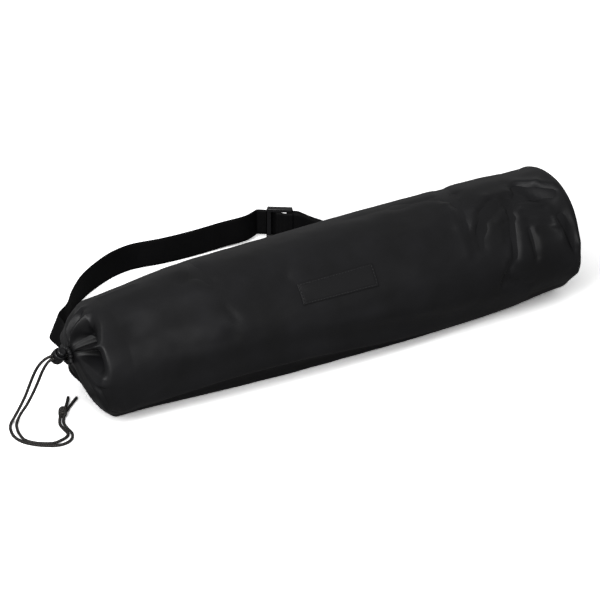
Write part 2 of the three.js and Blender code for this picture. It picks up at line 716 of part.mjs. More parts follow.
// The slider's own directions: alongSlider runs towards the base end, outSlider faces the bag
const sliderMiddle = new THREE.Vector3(sliderAlong * halfLength, sliderAway * strapSpread, 0);
const alongSlider = new THREE.Vector3(Math.cos(rad(sliderTurn)), Math.sin(rad(sliderTurn)), 0);
const outSlider = new THREE.Vector3(alongSlider.y, -alongSlider.x, 0);
const sliderHeight = strapWidth + 2 * slidingGap + 2 * sliderEndHeight;
const strapLift = sliderEndHeight + slidingGap;
function byBar(along, out) {
  const place = sliderMiddle.clone().addScaledVector(alongSlider, along).addScaledVector(outSlider, out);
  return { place, lean: 0, lift: strapLift };
}

// Slider: two tall rails and a bar between two thick ends
const slotLength = (sliderLength - 2 * sliderRail - sliderBar) / 2;
function sliderBlock(along, low, high, length, thick) {
  const block = new THREE.BoxGeometry(length, thick, high - low);
  block.translate(along, 0, (low + high) / 2);
  return asSolid(block);
}
const railAlong = (sliderLength - sliderRail) / 2;
const railHigh = sliderHeight - sliderEndHeight / 2;
const railLow = sliderEndHeight / 2;
const sliderBlocks = [
  sliderBlock(0, 0, sliderEndHeight, sliderLength, sliderEndWall),
  sliderBlock(0, sliderHeight - sliderEndHeight, sliderHeight, sliderLength, sliderEndWall),
  sliderBlock(0, railLow, railHigh, sliderBar, sliderWall),
  sliderBlock(-railAlong, railLow, railHigh, sliderRail, sliderWall),
  sliderBlock(railAlong, railLow, railHigh, sliderRail, sliderWall),
];
const sliderSolid = sliderBlocks.reduce((joined, block) => joined.add(block));
const slider = addPiece('strap_slider', fromSolid(sliderSolid), moulded, 0.35);
slider.position.copy(sliderMiddle);
slider.rotation.z = rad(sliderTurn);

// The short strap's own way from the slider to the base, and the layers that lie on it. onShort gives a place
// at a distance past the slider, spread apart by opened at the slider and by whole layers further on.
const layer = sliderWall / 2 + slidingGap + strapWall / 2;
const shortPath = new THREE.CatmullRomCurve3([
  byBar(sliderLength / 2, -layer).place,
  byBar(sliderLength / 2 + 5, -layer).place,
  ...routeStations(shortRoute).map((station) => station.place),
  new THREE.Vector3(baseEndAlong * halfLength, baseEndAway * bagRadius, 0),
], false, 'centripetal');
const foldClose = 20;
const layerStep = 6;
const tailSteps = Math.round(tailLength / layerStep);
const foldSteps = Math.round(foldLength / layerStep);
const shortSteps = 18;
function onShort(distance, opened, layers) {
  const t = Math.min(distance / shortPath.getLength(), 1);
  const way = shortPath.getTangentAt(t);
  const closed = layers * (strapWall + layerGap);
  const off = THREE.MathUtils.lerp(opened, closed, smooth(distance, 0, foldClose));
  const place = shortPath.getPointAt(t).addScaledVector(new THREE.Vector3(way.y, -way.x, 0), off);
  return { place, lean: 0, lift: strapLift * (1 - smooth(distance, foldClose, 5 * foldClose)) };
}

// Long strap: sewn to the back near the mouth, round behind the bag, through the slider and over its bar
const slotMiddle = (sliderBar + slotLength) / 2;
const overFold = layer + strapWall + layerGap;
const mouthEnd = new THREE.Vector3(mouthEndAlong * halfLength, mouthEndAway * bagRadius, 0);
const mouthSeat = { place: mouthEnd, lean: 0 };
const longRows = [mouthSeat, ...routeStations(strapRoute)];
const longStations = evenStations([...longRows, { ...byBar(-sliderLength / 2 - 12, -layer), lean: 2 }], 60);
const settle = 14;
longStations.slice(-settle).forEach((station, i) => {
  station.lift = strapLift * smooth(i + 1, 0, settle);
});
const crossing = 0.38 * slotLength;
longStations.push(byBar(-sliderLength / 2 + 1, -layer));
longStations.push(byBar(-slotMiddle - crossing, -layer));
longStations.push(byBar(-slotMiddle, 0));
longStations.push(byBar(-slotMiddle + crossing, layer));
longStations.push(byBar(sliderBar / 4, layer));
longStations.push(byBar(slotMiddle, overFold));
longStations.push(byBar(railAlong, overFold));
for (let i = 0; i <= tailSteps; i += 1) {
  longStations.push(onShort(tailLength * i / tailSteps, overFold + layer, 2));
}
const longRings = webbingRings(longStations);
seatOnBag(longRings, 0);
addPiece('strap_long', loft(longRings), webbing, 0.8);

// Short strap: folded round the slider's far rail and sewn to itself, then on to the base seam
const foldStations = [];
for (let i = foldSteps; i >= 0; i -= 1) foldStations.push(onShort(foldLength * i / foldSteps, 2 * layer, 1));
const foldAlong = railAlong - sliderRail / 2;
foldStations.push(byBar(foldAlong, layer));
foldStations.push(byBar(foldAlong - layer * 0.4, layer * 0.6));
foldStations.push(byBar(foldAlong - layer * 0.5, 0));
foldStations.push(byBar(foldAlong - layer * 0.4, -layer * 0.6));
foldStations.push(byBar(foldAlong, -layer));
for (let i = 0; i < tailSteps; i += 1) foldStations.push(onShort(tailLength * i / tailSteps, 0, 0));
const singleLength = shortPath.getLength() - tailLength;
for (let i = 0; i <= shortSteps; i += 1) {
  foldStations.push(onShort(tailLength + singleLength * i / shortSteps, 0, 0));
}
const shortRings = webbingRings(foldStations);
seatOnBag(shortRings, shortRings.length - 1);
addPiece('strap_short', loft(shortRings), webbing, 0.8);

export default group;
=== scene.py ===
# Yoga mat bag, lying with its mouth drawn shut and its strap laid behind it.
# The frame is in metres. Sizes here are in millimetres, and mm turns them into the frame's units.
import math
import bpy
import numpy as np
from mathutils import Matrix, Vector, noise


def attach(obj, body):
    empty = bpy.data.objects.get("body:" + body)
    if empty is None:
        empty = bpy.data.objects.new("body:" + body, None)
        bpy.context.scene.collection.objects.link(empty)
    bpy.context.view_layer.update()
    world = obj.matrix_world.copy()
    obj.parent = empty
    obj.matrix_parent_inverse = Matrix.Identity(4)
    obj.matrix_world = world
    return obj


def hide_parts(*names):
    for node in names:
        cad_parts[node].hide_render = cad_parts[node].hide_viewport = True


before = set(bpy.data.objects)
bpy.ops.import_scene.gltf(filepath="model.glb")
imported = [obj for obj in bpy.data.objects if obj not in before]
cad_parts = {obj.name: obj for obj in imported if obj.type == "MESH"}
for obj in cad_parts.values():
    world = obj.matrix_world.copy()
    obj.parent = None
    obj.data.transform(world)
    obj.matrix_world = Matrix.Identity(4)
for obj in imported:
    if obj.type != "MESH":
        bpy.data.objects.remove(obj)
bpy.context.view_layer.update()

mm = 0.001

# The camera looks down on the front of the bag from the left of its mouth, from far off, so that the long
# bag keeps parallel edges.
view_turn = math.radians(32.1)
view_drop = math.radians(26.7)
view_away = 30.0
view_width = 0.7084
aim_right = -0.0307
aim_up = 0.0517
view_from = Vector((-math.sin(view_turn) * math.cos(view_drop), -math.cos(view_turn) * math.cos(view_drop),
                    math.sin(view_drop)))
view_right = Vector((math.cos(view_turn), -math.sin(view_turn), 0))
view_up = view_from.cross(view_right)
aim = view_right * aim_right + view_up * aim_up
camera = bpy.data.objects.new("camera", bpy.data.cameras.new("camera"))
camera.matrix_world = Matrix.Translation(aim + view_from * view_away) @ Matrix(
    (view_right, view_up, view_from)).transposed().to_4x4()
camera.data.sensor_width = 36
camera.data.lens = camera.data.sensor_width * view_away / view_width
bpy.context.scene.collection.objects.link(camera)
bpy.context.scene.camera = camera
bpy.context.scene.view_settings.view_transform = "Standard"


# Draw cord: two strands of one 3.8 mm braided polyester cord. They leave the gathered hem, run through the
# cord lock, hang to the table, curl round on it and end in an overhand knot with two cut tails.
cord_width = 3.8
cord_spacing = 4.1
mouth_x = -355
mouth_height = 81
sewn_gap = 0.3
hem_depth = 6.5
hem_hole = 5.5
lock_radius = 8.5
lock_gap = 1.2
press_way = Vector((0.1, -0.6, 0.79)).normalized()
cord_way = Vector((-0.95, 0.2, -0.3))
cord_way = (cord_way - press_way * cord_way.dot(press_way)).normalized()
side_way = cord_way.cross(press_way)
exit_reach = hem_hole - cord_width / 2 - 2 * sewn_gap
exit_rise = math.sqrt(exit_reach ** 2 - (cord_spacing / 2) ** 2)
exit_middle = Vector((mouth_x - sewn_gap - hem_depth / 2, 0, mouth_height + exit_rise))
lock_centre = exit_middle + cord_way * ((hem_depth / 2 + lock_gap + lock_radius) / -cord_way.x)
outer_route = [
    (-387.5, 0.8, 84), (-392, 4, 78.5), (-395, 9, 69.5), (-397.5, 13.5, 58), (-400, 17.5, 45),
    (-404, 20, 31.5), (-410, 22, 18),
    (-417, 22.5, 7), (-426, 17, 1.9), (-436, 0, 1.9), (-440, -16, 1.9), (-438, -31, 1.9), (-430, -44, 1.9),
    (-420, -53, 1.9), (-410, -59, 1.9), (-398, -60, 1.9), (-386, -54, 1.9), (-378, -42, 1.9),
    (-376, -29, 1.9), (-373, -16, 1.9), (-368.5, -7.5, 2.2), (-364.3, -1.75, 3.2),
]
inner_route = [
    (-385.5, -2.8, 81.5), (-389, -0.5, 75.5), (-391.5, 3.5, 65.5), (-394, 8, 52), (-399, 12, 36),
    (-405, 16, 21), (-412, 19, 9), (-419, 15, 2), (-427, 1, 1.9), (-432, -14, 1.9), (-433.5, -28, 1.9),
    (-427.5, -39.5, 1.9), (-418.5, -47.5, 1.9), (-408.5, -52, 1.9), (-397, -50, 1.9), (-388.2, -46.2, 1.9),
    (-382.6, -40.6, 1.9), (-380.6, -28.3, 1.9), (-377.9, -15.2, 1.9), (-372.3, -5, 2.2), (-368, 0.9, 3.2),
]


curve_cuts = 12


def smooth_path(points, step):
    """Points a step apart on a centripetal Catmull-Rom curve through the given ones."""
    given = [Vector(p) for p in points]
    given = [given[0] * 2 - given[1], *given, given[-1] * 2 - given[-2]]
    fine = []
    for p0, p1, p2, p3 in zip(given, given[1:], given[2:], given[3:]):
        t1 = max((p1 - p0).length, 1e-6) ** 0.5
        t2 = t1 + max((p2 - p1).length, 1e-6) ** 0.5
        t3 = t2 + max((p3 - p2).length, 1e-6) ** 0.5
        for i in range(curve_cuts):
            t = t1 + (t2 - t1) * i / curve_cuts
            a1 = p0 * ((t1 - t) / t1) + p1 * (t / t1)
            a2 = p1 * ((t2 - t) / (t2 - t1)) + p2 * ((t - t1) / (t2 - t1))
            a3 = p2 * ((t3 - t) / (t3 - t2)) + p3 * ((t - t2) / (t3 - t2))
            b1 = a1 * ((t2 - t) / t2) + a2 * (t / t2)
            b2 = a2 * ((t3 - t) / (t3 - t1)) + a3 * ((t - t1) / (t3 - t1))
            fine.append(b1 * ((t2 - t) / (t2 - t1)) + b2 * ((t - t1) / (t2 - t1)))
    fine.append(given[-2])
    return even_path(fine, step)


def even_path(points, step):
    """The same polyline with its points evenly spaced, about a step apart."""
    line = np.array([tuple(p) for p in points])
    run = np.concatenate([[0], np.cumsum(np.linalg.norm(np.diff(line, axis=0), axis=1))])
    count = max(int(round(run[-1] / step)), 2)
    at = np.linspace(0, run[-1], count + 1)
    return [Vector([np.interp(t, run, line[:, axis]) for axis in range(3)]) for t in at]


def mesh_piece(name, points, faces, material, smooth=True):
    """A mesh object from points in millimetres."""
    mesh = bpy.data.meshes.new(name)
    mesh.from_pydata([tuple(c * mm for c in p) for p in points], [], faces)
    mesh.materials.append(material)
    mesh.polygons.foreach_set("use_smooth", [smooth] * len(mesh.polygons))
    mesh.update()
    piece = bpy.data.objects.new(name, mesh)
    bpy.context.scene.collection.objects.link(piece)
    return piece


def frames_along(path):
    """Two directions across a path at each of its points, carried along without twisting."""
    ways = [(b - a).normalized() for a, b in zip(path, path[1:])]
    ways.append(ways[-1])
    across = ways[0].orthogonal().normalized()
    frames = []
    for way in ways:
        across = (across - way * across.dot(way)).normalized()
        frames.append((across, way.cross(across)))
    return frames


def lofted(loops, closed=False):
    """Points and faces of a skin over loops of points. Its ends are closed flat, or joined to each other."""
    count = len(loops[0])
    points = [p for loop in loops for p in loop]
    faces = []
    for i in range(len(loops) if closed else len(loops) - 1):
        j = (i + 1) % len(loops)
        for k in range(count):
            m = (k + 1) % count
            faces.append((i * count + k, i * count + m, j * count + m, j * count + k))
    if not closed:
        faces.append(tuple(reversed(range(count))))
        faces.append(tuple(len(points) - count + k for k in range(count)))
    return points, faces


def linear(hex_colour):
    """An sRGB hex colour as linear red, green, blue and alpha."""
    parts = [int(hex_colour[i:i + 2], 16) / 255 for i in (1, 3, 5)]
    return (*[c / 12.92 if c <= 0.04045 else ((c + 0.055) / 1.055) ** 2.4 for c in parts], 1)


def add_node(material, kind, settings=None, links=None):
    """Adds a shader node, sets its properties or sockets, and links its inputs from other nodes' sockets."""
    node = material.node_tree.nodes.new(kind)
    for key, value in (settings or {}).items():
        if isinstance(key, int) or key in node.inputs:
            node.inputs[key].default_value = value
        else:
            setattr(node, key, value)
    for key, socket in (links or {}).items():
        material.node_tree.links.new(socket, node.inputs[key])
    return node


def new_material(name):
    """A material with its surface shader, ready for its own nodes."""
    material = bpy.data.materials.new(name)
    material.use_nodes = True
    return material, material.node_tree.nodes["Principled BSDF"]


# Braided polyester: black filament yarn with pale tracer yarns, matt, with the braid's slanting bumps.
# Braid pitch is 4 mm a turn on a real 3.8 mm cord, which shows as the pale flecks.
braid_pitch = 4.0
braid_starts = 3
braid_relief = 0.03
braid, surface = new_material("braided_polyester")
surface.inputs["Roughness"].default_value = 0.75
surface.inputs["Specular IOR Level"].default_value = 0.3
place = add_node(braid, "ShaderNodeAttribute", {"attribute_name": "braid"})
split = add_node(braid, "ShaderNodeSeparateXYZ", links={0: place.outputs["Vector"]})
left = add_node(braid, "ShaderNodeMath", {"operation": "SINE"}, {0: split.outputs["X"]})
right = add_node(braid, "ShaderNodeMath", {"operation": "SINE"}, {0: split.outputs["Y"]})
fleck = add_node(braid, "ShaderNodeMath", {"operation": "MULTIPLY"},
                 {0: left.outputs[0], 1: right.outputs[0]})
tint = add_node(braid, "ShaderNodeValToRGB", links={0: fleck.outputs[0]})
tint.color_ramp.elements[0].position = 0.45
tint.color_ramp.elements[0].color = linear("#0b0b0b")
tint.color_ramp.elements[1].position = 0.95
tint.color_ramp.elements[1].color = linear("#6e6a66")
braid.node_tree.links.new(tint.outputs[0], surface.inputs["Base Color"])
bump = add_node(braid, "ShaderNodeBump", {"Strength": 0.5, "Distance": 0.0003}, {"Height": fleck.outputs[0]})
braid.node_tree.links.new(bump.outputs[0], surface.inputs["Normal"])


def braided_tube(name, path, material):
    """A cord as a fine tube whose surface has the braid's small bumps, with the braid's own coordinates."""
    sides = 12
    turn_rate = 2 * math.pi / braid_pitch
    loops, marks = [], []
    run = 0
    for i, (centre, (a, b)) in enumerate(zip(path, frames_along(path))):
        if i:
            run += (centre - path[i - 1]).length
        loop = []
        for k in range(sides):
            turn = 2 * math.pi * k / sides
            right_hand = braid_starts * turn + turn_rate * run
            left_hand = braid_starts * turn - turn_rate * run
            high = braid_relief * math.sin(right_hand) * math.sin(left_hand)
            radius = cord_width / 2 * (1 - braid_relief + high)
            loop.append(centre + (a * math.cos(turn) + b * math.sin(turn)) * radius)
            marks += [right_hand, left_hand, 0]
        loops.append(loop)
    piece = mesh_piece(name, *lofted(loops), material)
    layer = piece.data.attributes.new("braid", "FLOAT_VECTOR", "POINT")
    layer.data.foreach_set("vector", marks)
    return piece


for name, side, route in (("draw_cord_outer", 1, outer_route), ("draw_cord_inner", -1, inner_route)):
    stops = [-lock_radius - 1, -lock_radius / 2, 0, lock_radius / 2, lock_radius + 1]
    start = exit_middle + Vector((0, side * cord_spacing / 2, 0))
    threaded = [lock_centre + cord_way * t + side_way * side * cord_spacing / 2 for t in stops]
    path = smooth_path([start, *threaded, *route], 1.0)
    path = [Vector((p.x, p.y, max(p.z, cord_width / 2))) for p in path]
    strand = braided_tube(name, path, braid)
    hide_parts("cord_strand_outer" if side > 0 else "cord_strand_inner")
    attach(strand, "bag")

# The overhand knot is tied in both strands together: a ball of wound cord with two loose turns over it.
knot_centre = Vector((-362.2, 4.6, 5.5))
knot_way = Vector((0.55, 0.83, 0)).normalized()
knot_side = Vector((-knot_way.y, knot_way.x, 0))
knot_radius = 3.5
knot_cuts = 24
knot_step = 0.8
# Where each turn lies along the knot, and how far it leans along it.
knot_turns = [(-3.0, 1.5), (0.8, -1.05), (3.9, 0.9)]
tail_routes = [
    [(-357, 11, 3.8), (-350.8, 17.8, 2.1), (-342, 28, 1.9), (-333, 40, 1.9)],
    [(-354.2, 8.8, 3.8), (-347.8, 15.4, 2.1), (-337, 24.5, 1.9), (-325, 34, 1.9)],
]
knot_pieces = []
for turn_number, (shift, lean) in enumerate(knot_turns):
    loop = []
    for i in range(knot_cuts + 1):
        turn = 2 * math.pi * i / knot_cuts
        along = shift + lean * math.sin(turn)
        loop.append(knot_centre + knot_way * along + knot_side * knot_radius * math.cos(turn)
                    + Vector((0, 0, knot_radius * math.sin(turn))))
    knot_pieces.append(braided_tube(f"knot_turn_{turn_number}", even_path(loop, knot_step), braid))
for number, route in enumerate(tail_routes):
    path = smooth_path([knot_centre - knot_way * 3, knot_centre + knot_way * 1.5, *route], knot_step)
    knot_pieces.append(braided_tube(f"knot_tail_{number}", path, braid))
knot = knot_pieces[0]
with bpy.context.temp_override(active_object=knot, selected_editable_objects=knot_pieces):
    bpy.ops.object.join()
knot.name = "cord_knot_tied"
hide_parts("cord_knot")
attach(knot, "bag")

# Cloth tube of the bag: black coated nylon, one cut piece sewn into a tube, filled out by what it holds. It
# is pressed flat underneath, creased low along the front, crumpled at the base end and drawn shut at the
# mouth.
bag_length = 620
bag_radius = 80
cloth_wall = 1.6
base_corner = 9
gather_reach = 45
mouth_radius = 8
half_length = bag_length / 2
around_steps = 300
base_steps = 6
tube_steps = 190
end_steps = 62
# Girth of the filled tube, in shares of the bag's length and radius, from the base to the mouth.
girths = [
    (0.00, 0.985, 0.985), (0.03, 0.980, 0.968), (0.07, 0.978, 0.935), (0.12, 0.995, 0.900),
    (0.18, 1.006, 0.877), (0.26, 1.022, 0.858), (0.38, 1.041, 0.844), (0.54, 1.030, 0.844),
    (0.65, 1.019, 0.850), (0.79, 0.993, 0.870), (0.92, 0.927, 0.841), (1.00, 0.896, 0.810),
]
# The long crease low on the front: share of the length, its angle in degrees, and in shares of the radius
# how far its lip stands out and how far the cloth tucks in under it.
crease_line = [
    (0.00, 136, 0.000, 0.000), (0.17, 136, 0.000, 0.005), (0.27, 130, 0.012, 0.025),
    (0.36, 124, 0.030, 0.050), (0.46, 119, 0.045, 0.075), (0.55, 115, 0.050, 0.085),
    (0.64, 112, 0.050, 0.090), (0.82, 115, 0.050, 0.080), (0.94, 123, 0.045, 0.050),
    (1.00, 126, 0.030, 0.030),
]
# Broad dents. along is a share of the length, around is in degrees from the top towards the front. long,
# wide and rise are shares of the radius, and turn is the dent's angle from the bag's axis.
folds = [
    (0.218, 0, 0.32, 0.11, -0.050, 67), (0.310, 12, 0.55, 0.26, -0.030, 0),
    (0.126, 29, 0.18, 0.14, -0.050, 20), (0.214, 46, 0.22, 0.10, -0.035, 58),
    (0.148, 55, 0.24, 0.10, -0.040, 80), (0.110, 65, 0.20, 0.10, -0.035, 101),
    (0.170, 84, 0.30, 0.10, -0.030, -10), (0.068, 28, 0.36, 0.12, -0.060, 125),
    (0.005, 345, 0.80, 0.75, -0.105, 90), (0.021, 70, 0.20, 0.10, -0.060, 90),
    (0.416, 90, 1.70, 0.13, 0.032, 0), (0.416, 104, 1.60, 0.20, -0.035, 0),
    (0.784, 4, 0.30, 0.12, -0.030, 86), (0.830, 10, 0.32, 0.20, -0.020, 0),
    (0.782, 75, 0.20, 0.10, -0.022, -50), (0.977, 40, 0.25, 0.18, -0.030, 0),
    (0.985, 215, 0.30, 0.50, -0.060, 0), (0.120, 285, 0.40, 0.13, -0.045, 70),
    (0.340, 262, 0.90, 0.16, -0.035, 8), (0.620, 290, 0.60, 0.16, -0.030, -20),
    (0.850, 270, 0.45, 0.14, -0.040, 24),
]
# Pleats of the drawn end, straight from one row's angle to the next: degrees, and a share of the gathered
# reach.
pleats = [
    (0, 0.02), (5, 0.06), (11, -0.20), (20, -0.50), (30, -0.58), (40, -0.58), (47, 0.05), (52, -0.50),
    (60, -0.58), (70, -0.48), (80, -0.10), (89, 0.02), (97, 0.03), (114, 0.02), (132, 0.05), (140, -0.06),
    (149, 0.05), (157, -0.06), (166, 0.06), (175, -0.07), (183, 0.06), (192, -0.08), (200, 0.07),
    (209, -0.08), (217, 0.07), (226, -0.08), (234, 0.07), (243, -0.08), (252, 0.08), (260, -0.07),
    (269, 0.07), (277, -0.09), (286, 0.07), (294, -0.03), (303, -0.06), (312, -0.12), (320, -0.10),
    (329, -0.02), (337, 0.02), (346, 0.12), (354, -0.12), (360, 0.02),
]
# How full the drawn end is round the bag, in degrees: 1 is a straight cone, higher is squarer at the
# shoulder.
fullness = [
    (-60, 1.50), (-40, 1.30), (0, 2.20), (25, 3.60), (46, 6.00), (85, 6.00), (105, 4.00), (125, 2.50),
    (150, 1.30), (180, 1.05), (225, 1.05), (270, 1.30), (300, 1.50),
]
# Sharp folds of the cloth, as lines between two places: x in millimetres along the bag (past -310 it is the
# way down the drawn end), around in degrees, wide and rise in millimetres, edge 1 for a sharp crest to 2
# for a round.
fold_lines = [
    (306, 78, 308, 98, 6, 4.5, 1.4), (248, 24, 262, 27, 7, -3.0, 1.5), (190, -40, 174, -16, 6, -3.2, 1.3),
    (174, -16, 164, 2, 6, -3.4, 1.2), (36, -9, 105, -8, 9, -1.2, 1.4), (105, -8, 164, -3, 9, -1.6, 1.4),
    (26, 26, 107, 30, 10, 0.9, 1.5), (107, 30, 160, 20, 9, 0.8, 1.5), (-177, -22, -184, 6, 6, -2.2, 1.2),
    (-184, 6, -179, 21, 6, -2.6, 1.1), (-184, 6, -208, 13, 8, -1.4, 1.4),
    (-176, 50, -168, 62, 5, -1.2, 1.3), (-73, 24, -87, 38, 6, -1.0, 1.3), (-87, 38, -74, 52, 6, -1.0, 1.3),
    (-317, -43, -330, -10, 4, 1.6, 1.2), (-330, -10, -345, 30, 4, 2.0, 1.2),
    (-345, 30, -345, 88, 4, 2.0, 1.2), (-322, 104, -316, 112, 5, 1.6, 1.3),
    (-306, -13, -258, -12, 6, 1.4, 1.3), (100, 66, 168, 72, 14, -1.0, 1.6),
    (168, 72, 236, 104, 12, 1.0, 1.5), (-60, 66, 10, 74, 16, -0.8, 1.7),
    (-250, 70, -150, 84, 14, -0.9, 1.6), (250, 108, 304, 112, 8, -1.4, 1.4),
    (-262, 100, -306, 108, 7, 1.2, 1.3), (60, 300, 130, 280, 9, -2.0, 1.3),
    (-120, 310, -60, 290, 9, -1.8, 1.3), (-220, 290, -180, 262, 8, -2.2, 1.2),
    (240, 300, 262, 268, 8, -2.6, 1.2), (276, 330, 306, 318, 6, -2.4, 1.2),
    (-20, 245, 60, 240, 9, -2.0, 1.3), (180, 250, 236, 236, 8, -2.2, 1.2),
    (-280, 240, -240, 236, 8, -2.0, 1.3),
]
# Overlapping folds, where the cloth stands up in a ridge and drops into a hollow beside it: x, around, x,
# around of the line between the two, wide and rise in millimetres. The ridge is on the base's side of a
# line that runs down the front, and on the other side where the rise is below 0.
ridge_folds = [
    (238, 21, 210, 20, 6, -2.6), (210, 20, 191, 28, 6, -2.8), (191, 28, 177, 42, 6, -2.8),
    (177, 42, 171, 58, 5, -2.2), (227, 26, 223, 42, 4, -2.6), (223, 42, 213, 70, 3.6, -3.0),
    (230, 31, 209, 44, 3.4, -1.5), (225, 27, 199, 32, 3.4, -1.3), (214, 44, 207, 58, 3.4, -1.4),
    (240, 57, 243, 76, 3.2, -2.0), (256, 11, 276, 20, 7, 5.5), (276, 20, 293, 29, 6, 4.5),
    (244, 26, 254, 12, 5, 3.5), (283, 58, 300, 86, 5, -3.6), (193, 86, 205, 74, 3.2, 2.4),
    (201, 80, 219, 86, 3.2, 2.2), (219, 86, 238, 91, 3.2, 1.6), (244, 38, 272, 42, 3.6, 1.6),
    (245, 47, 275, 53, 3.6, 1.5), (256, 57, 282, 63, 3.6, 1.4), (-346, 94, -330, 120, 4, -5.5),
    (167, 10, 160, 38, 5, -2.2), (160, 38, 159, 60, 5, -2.0), (176, -4, 167, 10, 5, -2.0),
]


def read_table(rows, at, column):
    """A column of a table at many places along it, on a smooth curve through its rows."""
    table = np.array(rows, float)
    keys, values = table[:, 0], table[:, column]
    last = len(rows) - 1
    before, after = np.maximum(np.arange(last + 1) - 1, 0), np.minimum(np.arange(last + 1) + 1, last)
    slopes = (values[after] - values[before]) / (keys[after] - keys[before])
    at = np.clip(at, keys[0], keys[-1])
    i = np.clip(np.searchsorted(keys, at, side="left") - 1, 0, last - 1)
    span = keys[i + 1] - keys[i]
    t = (at - keys[i]) / span
    return ((2 * t**3 - 3 * t**2 + 1) * values[i] + (t**3 - 2 * t**2 + t) * span * slopes[i]
            + (3 * t**2 - 2 * t**3) * values[i + 1] + (t**3 - t**2) * span * slopes[i + 1])


def smooth_step(x, low, high):
    t = np.clip((x - low) / (high - low), 0, 1)
    return t * t * (3 - 2 * t)


def turn_between(a, b):
    return (a - b + 540) % 360 - 180


# The crease's form in degrees from its line: how far its lip reaches to either side, the hollow above it, and
# the tuck below it, which grows and then fades.
crease_angle = 114.5
lip_above = 10
lip_below = 6
hollow_share = 0.35
hollow_middle = -20
hollow_reach = 9
tuck_grows = (0, 12)
tuck_fades = (16, 40)
crease_pulls = (50, 178)
crease_ends = 0.8


def crease_rise(along, angle):
    past = angle - crease_angle
    lip, tuck = read_table(crease_line, along, 2), read_table(crease_line, along, 3)
    edge = np.exp(-((past / np.where(past < 0, lip_above, lip_below)) ** 2))
    hollow = hollow_share * np.exp(-(((past - hollow_middle) / hollow_reach) ** 2))
    under = smooth_step(past, *tuck_grows) * (1 - smooth_step(past, *tuck_fades))
    return bag_radius * (lip * (edge - hollow) - tuck * under)


def fold_rise(along, angle):
    rise = 0
    for at, around, long, wide, height, turn in folds:
        down = (along - at) * bag_length / bag_radius
        over = np.radians(turn_between(angle, around))
        c, s = math.cos(math.radians(turn)), math.sin(math.radians(turn))
        lengthways, sideways = (down * c + over * s) / long, (over * c - down * s) / wide
        rise = rise + height * np.exp(-(lengthways ** 2) - sideways ** 2)
    return rise * bag_radius


# A ridge fold in section: its crest and its dip stand this share of its width to either side of its line, the
# crest is the lower of the two, and the cloth recovers over a longer way beyond both.
ridge_stand = 0.6
ridge_crest = 0.55
ridge_recovers = 1.6


def line_rise(run, angle, radius):
    """What the sharp folds add at a place along the cloth and its angle, where the bag has that radius."""
    rise = 0
    for x0, around0, x1, around1, wide, height, edge in fold_lines:
        dx = run - x0
        dv = np.radians(turn_between(angle, around0)) * radius
        sx = x1 - x0
        sv = np.radians(turn_between(np.float64(around1), around0)) * radius
        t = np.clip((dx * sx + dv * sv) / (sx * sx + sv * sv), 0, 1)
        away = np.hypot(dx - t * sx, dv - t * sv)
        rise = rise + height * np.exp(-((away / wide) ** edge))
    for x0, around0, x1, around1, wide, height in ridge_folds:
        dx = run - x0
        dv = np.radians(turn_between(angle, around0)) * radius
        sx = x1 - x0
        sv = np.radians(turn_between(np.float64(around1), around0)) * radius
        size = np.hypot(sx, sv)
        along, side = (dx * sx + dv * sv) / size, (dx * sv - dv * sx) / size
        beyond = np.maximum(np.maximum(-along, along - size), 0)
        across = side * np.sign(height) / wide
        crest, dip = across - ridge_stand, across + ridge_stand
        up = ridge_crest * np.exp(-((crest / np.where(crest > 0, ridge_recovers, 1)) ** 2))
        down = np.exp(-((dip / np.where(dip < 0, ridge_recovers, 1)) ** 2))
        rise = rise + height * (up - down) * np.sign(height) * np.exp(-((beyond / wide) ** 2))
    return rise


# The pleats of the drawn end, in shares of the way to the mouth. They start later where the shoulder is
# fuller: two values of the fullness, and the share where the pleats start at each.
pleats_start = (1.5, 6), (0.16, 0.38)
pleats_full = 0.58
pleats_fade = (0.72, 0.98)
end_way = 70


def gather_rise(share, angle, power):
    start = np.interp(power, *pleats_start)
    grown = smooth_step((share - start) / (pleats_full - start), 0, 1)
    grown = grown * (1 - smooth_step(share, *pleats_fade))
    rise = np.interp(angle, *np.transpose(pleats))
    return grown * rise * gather_reach


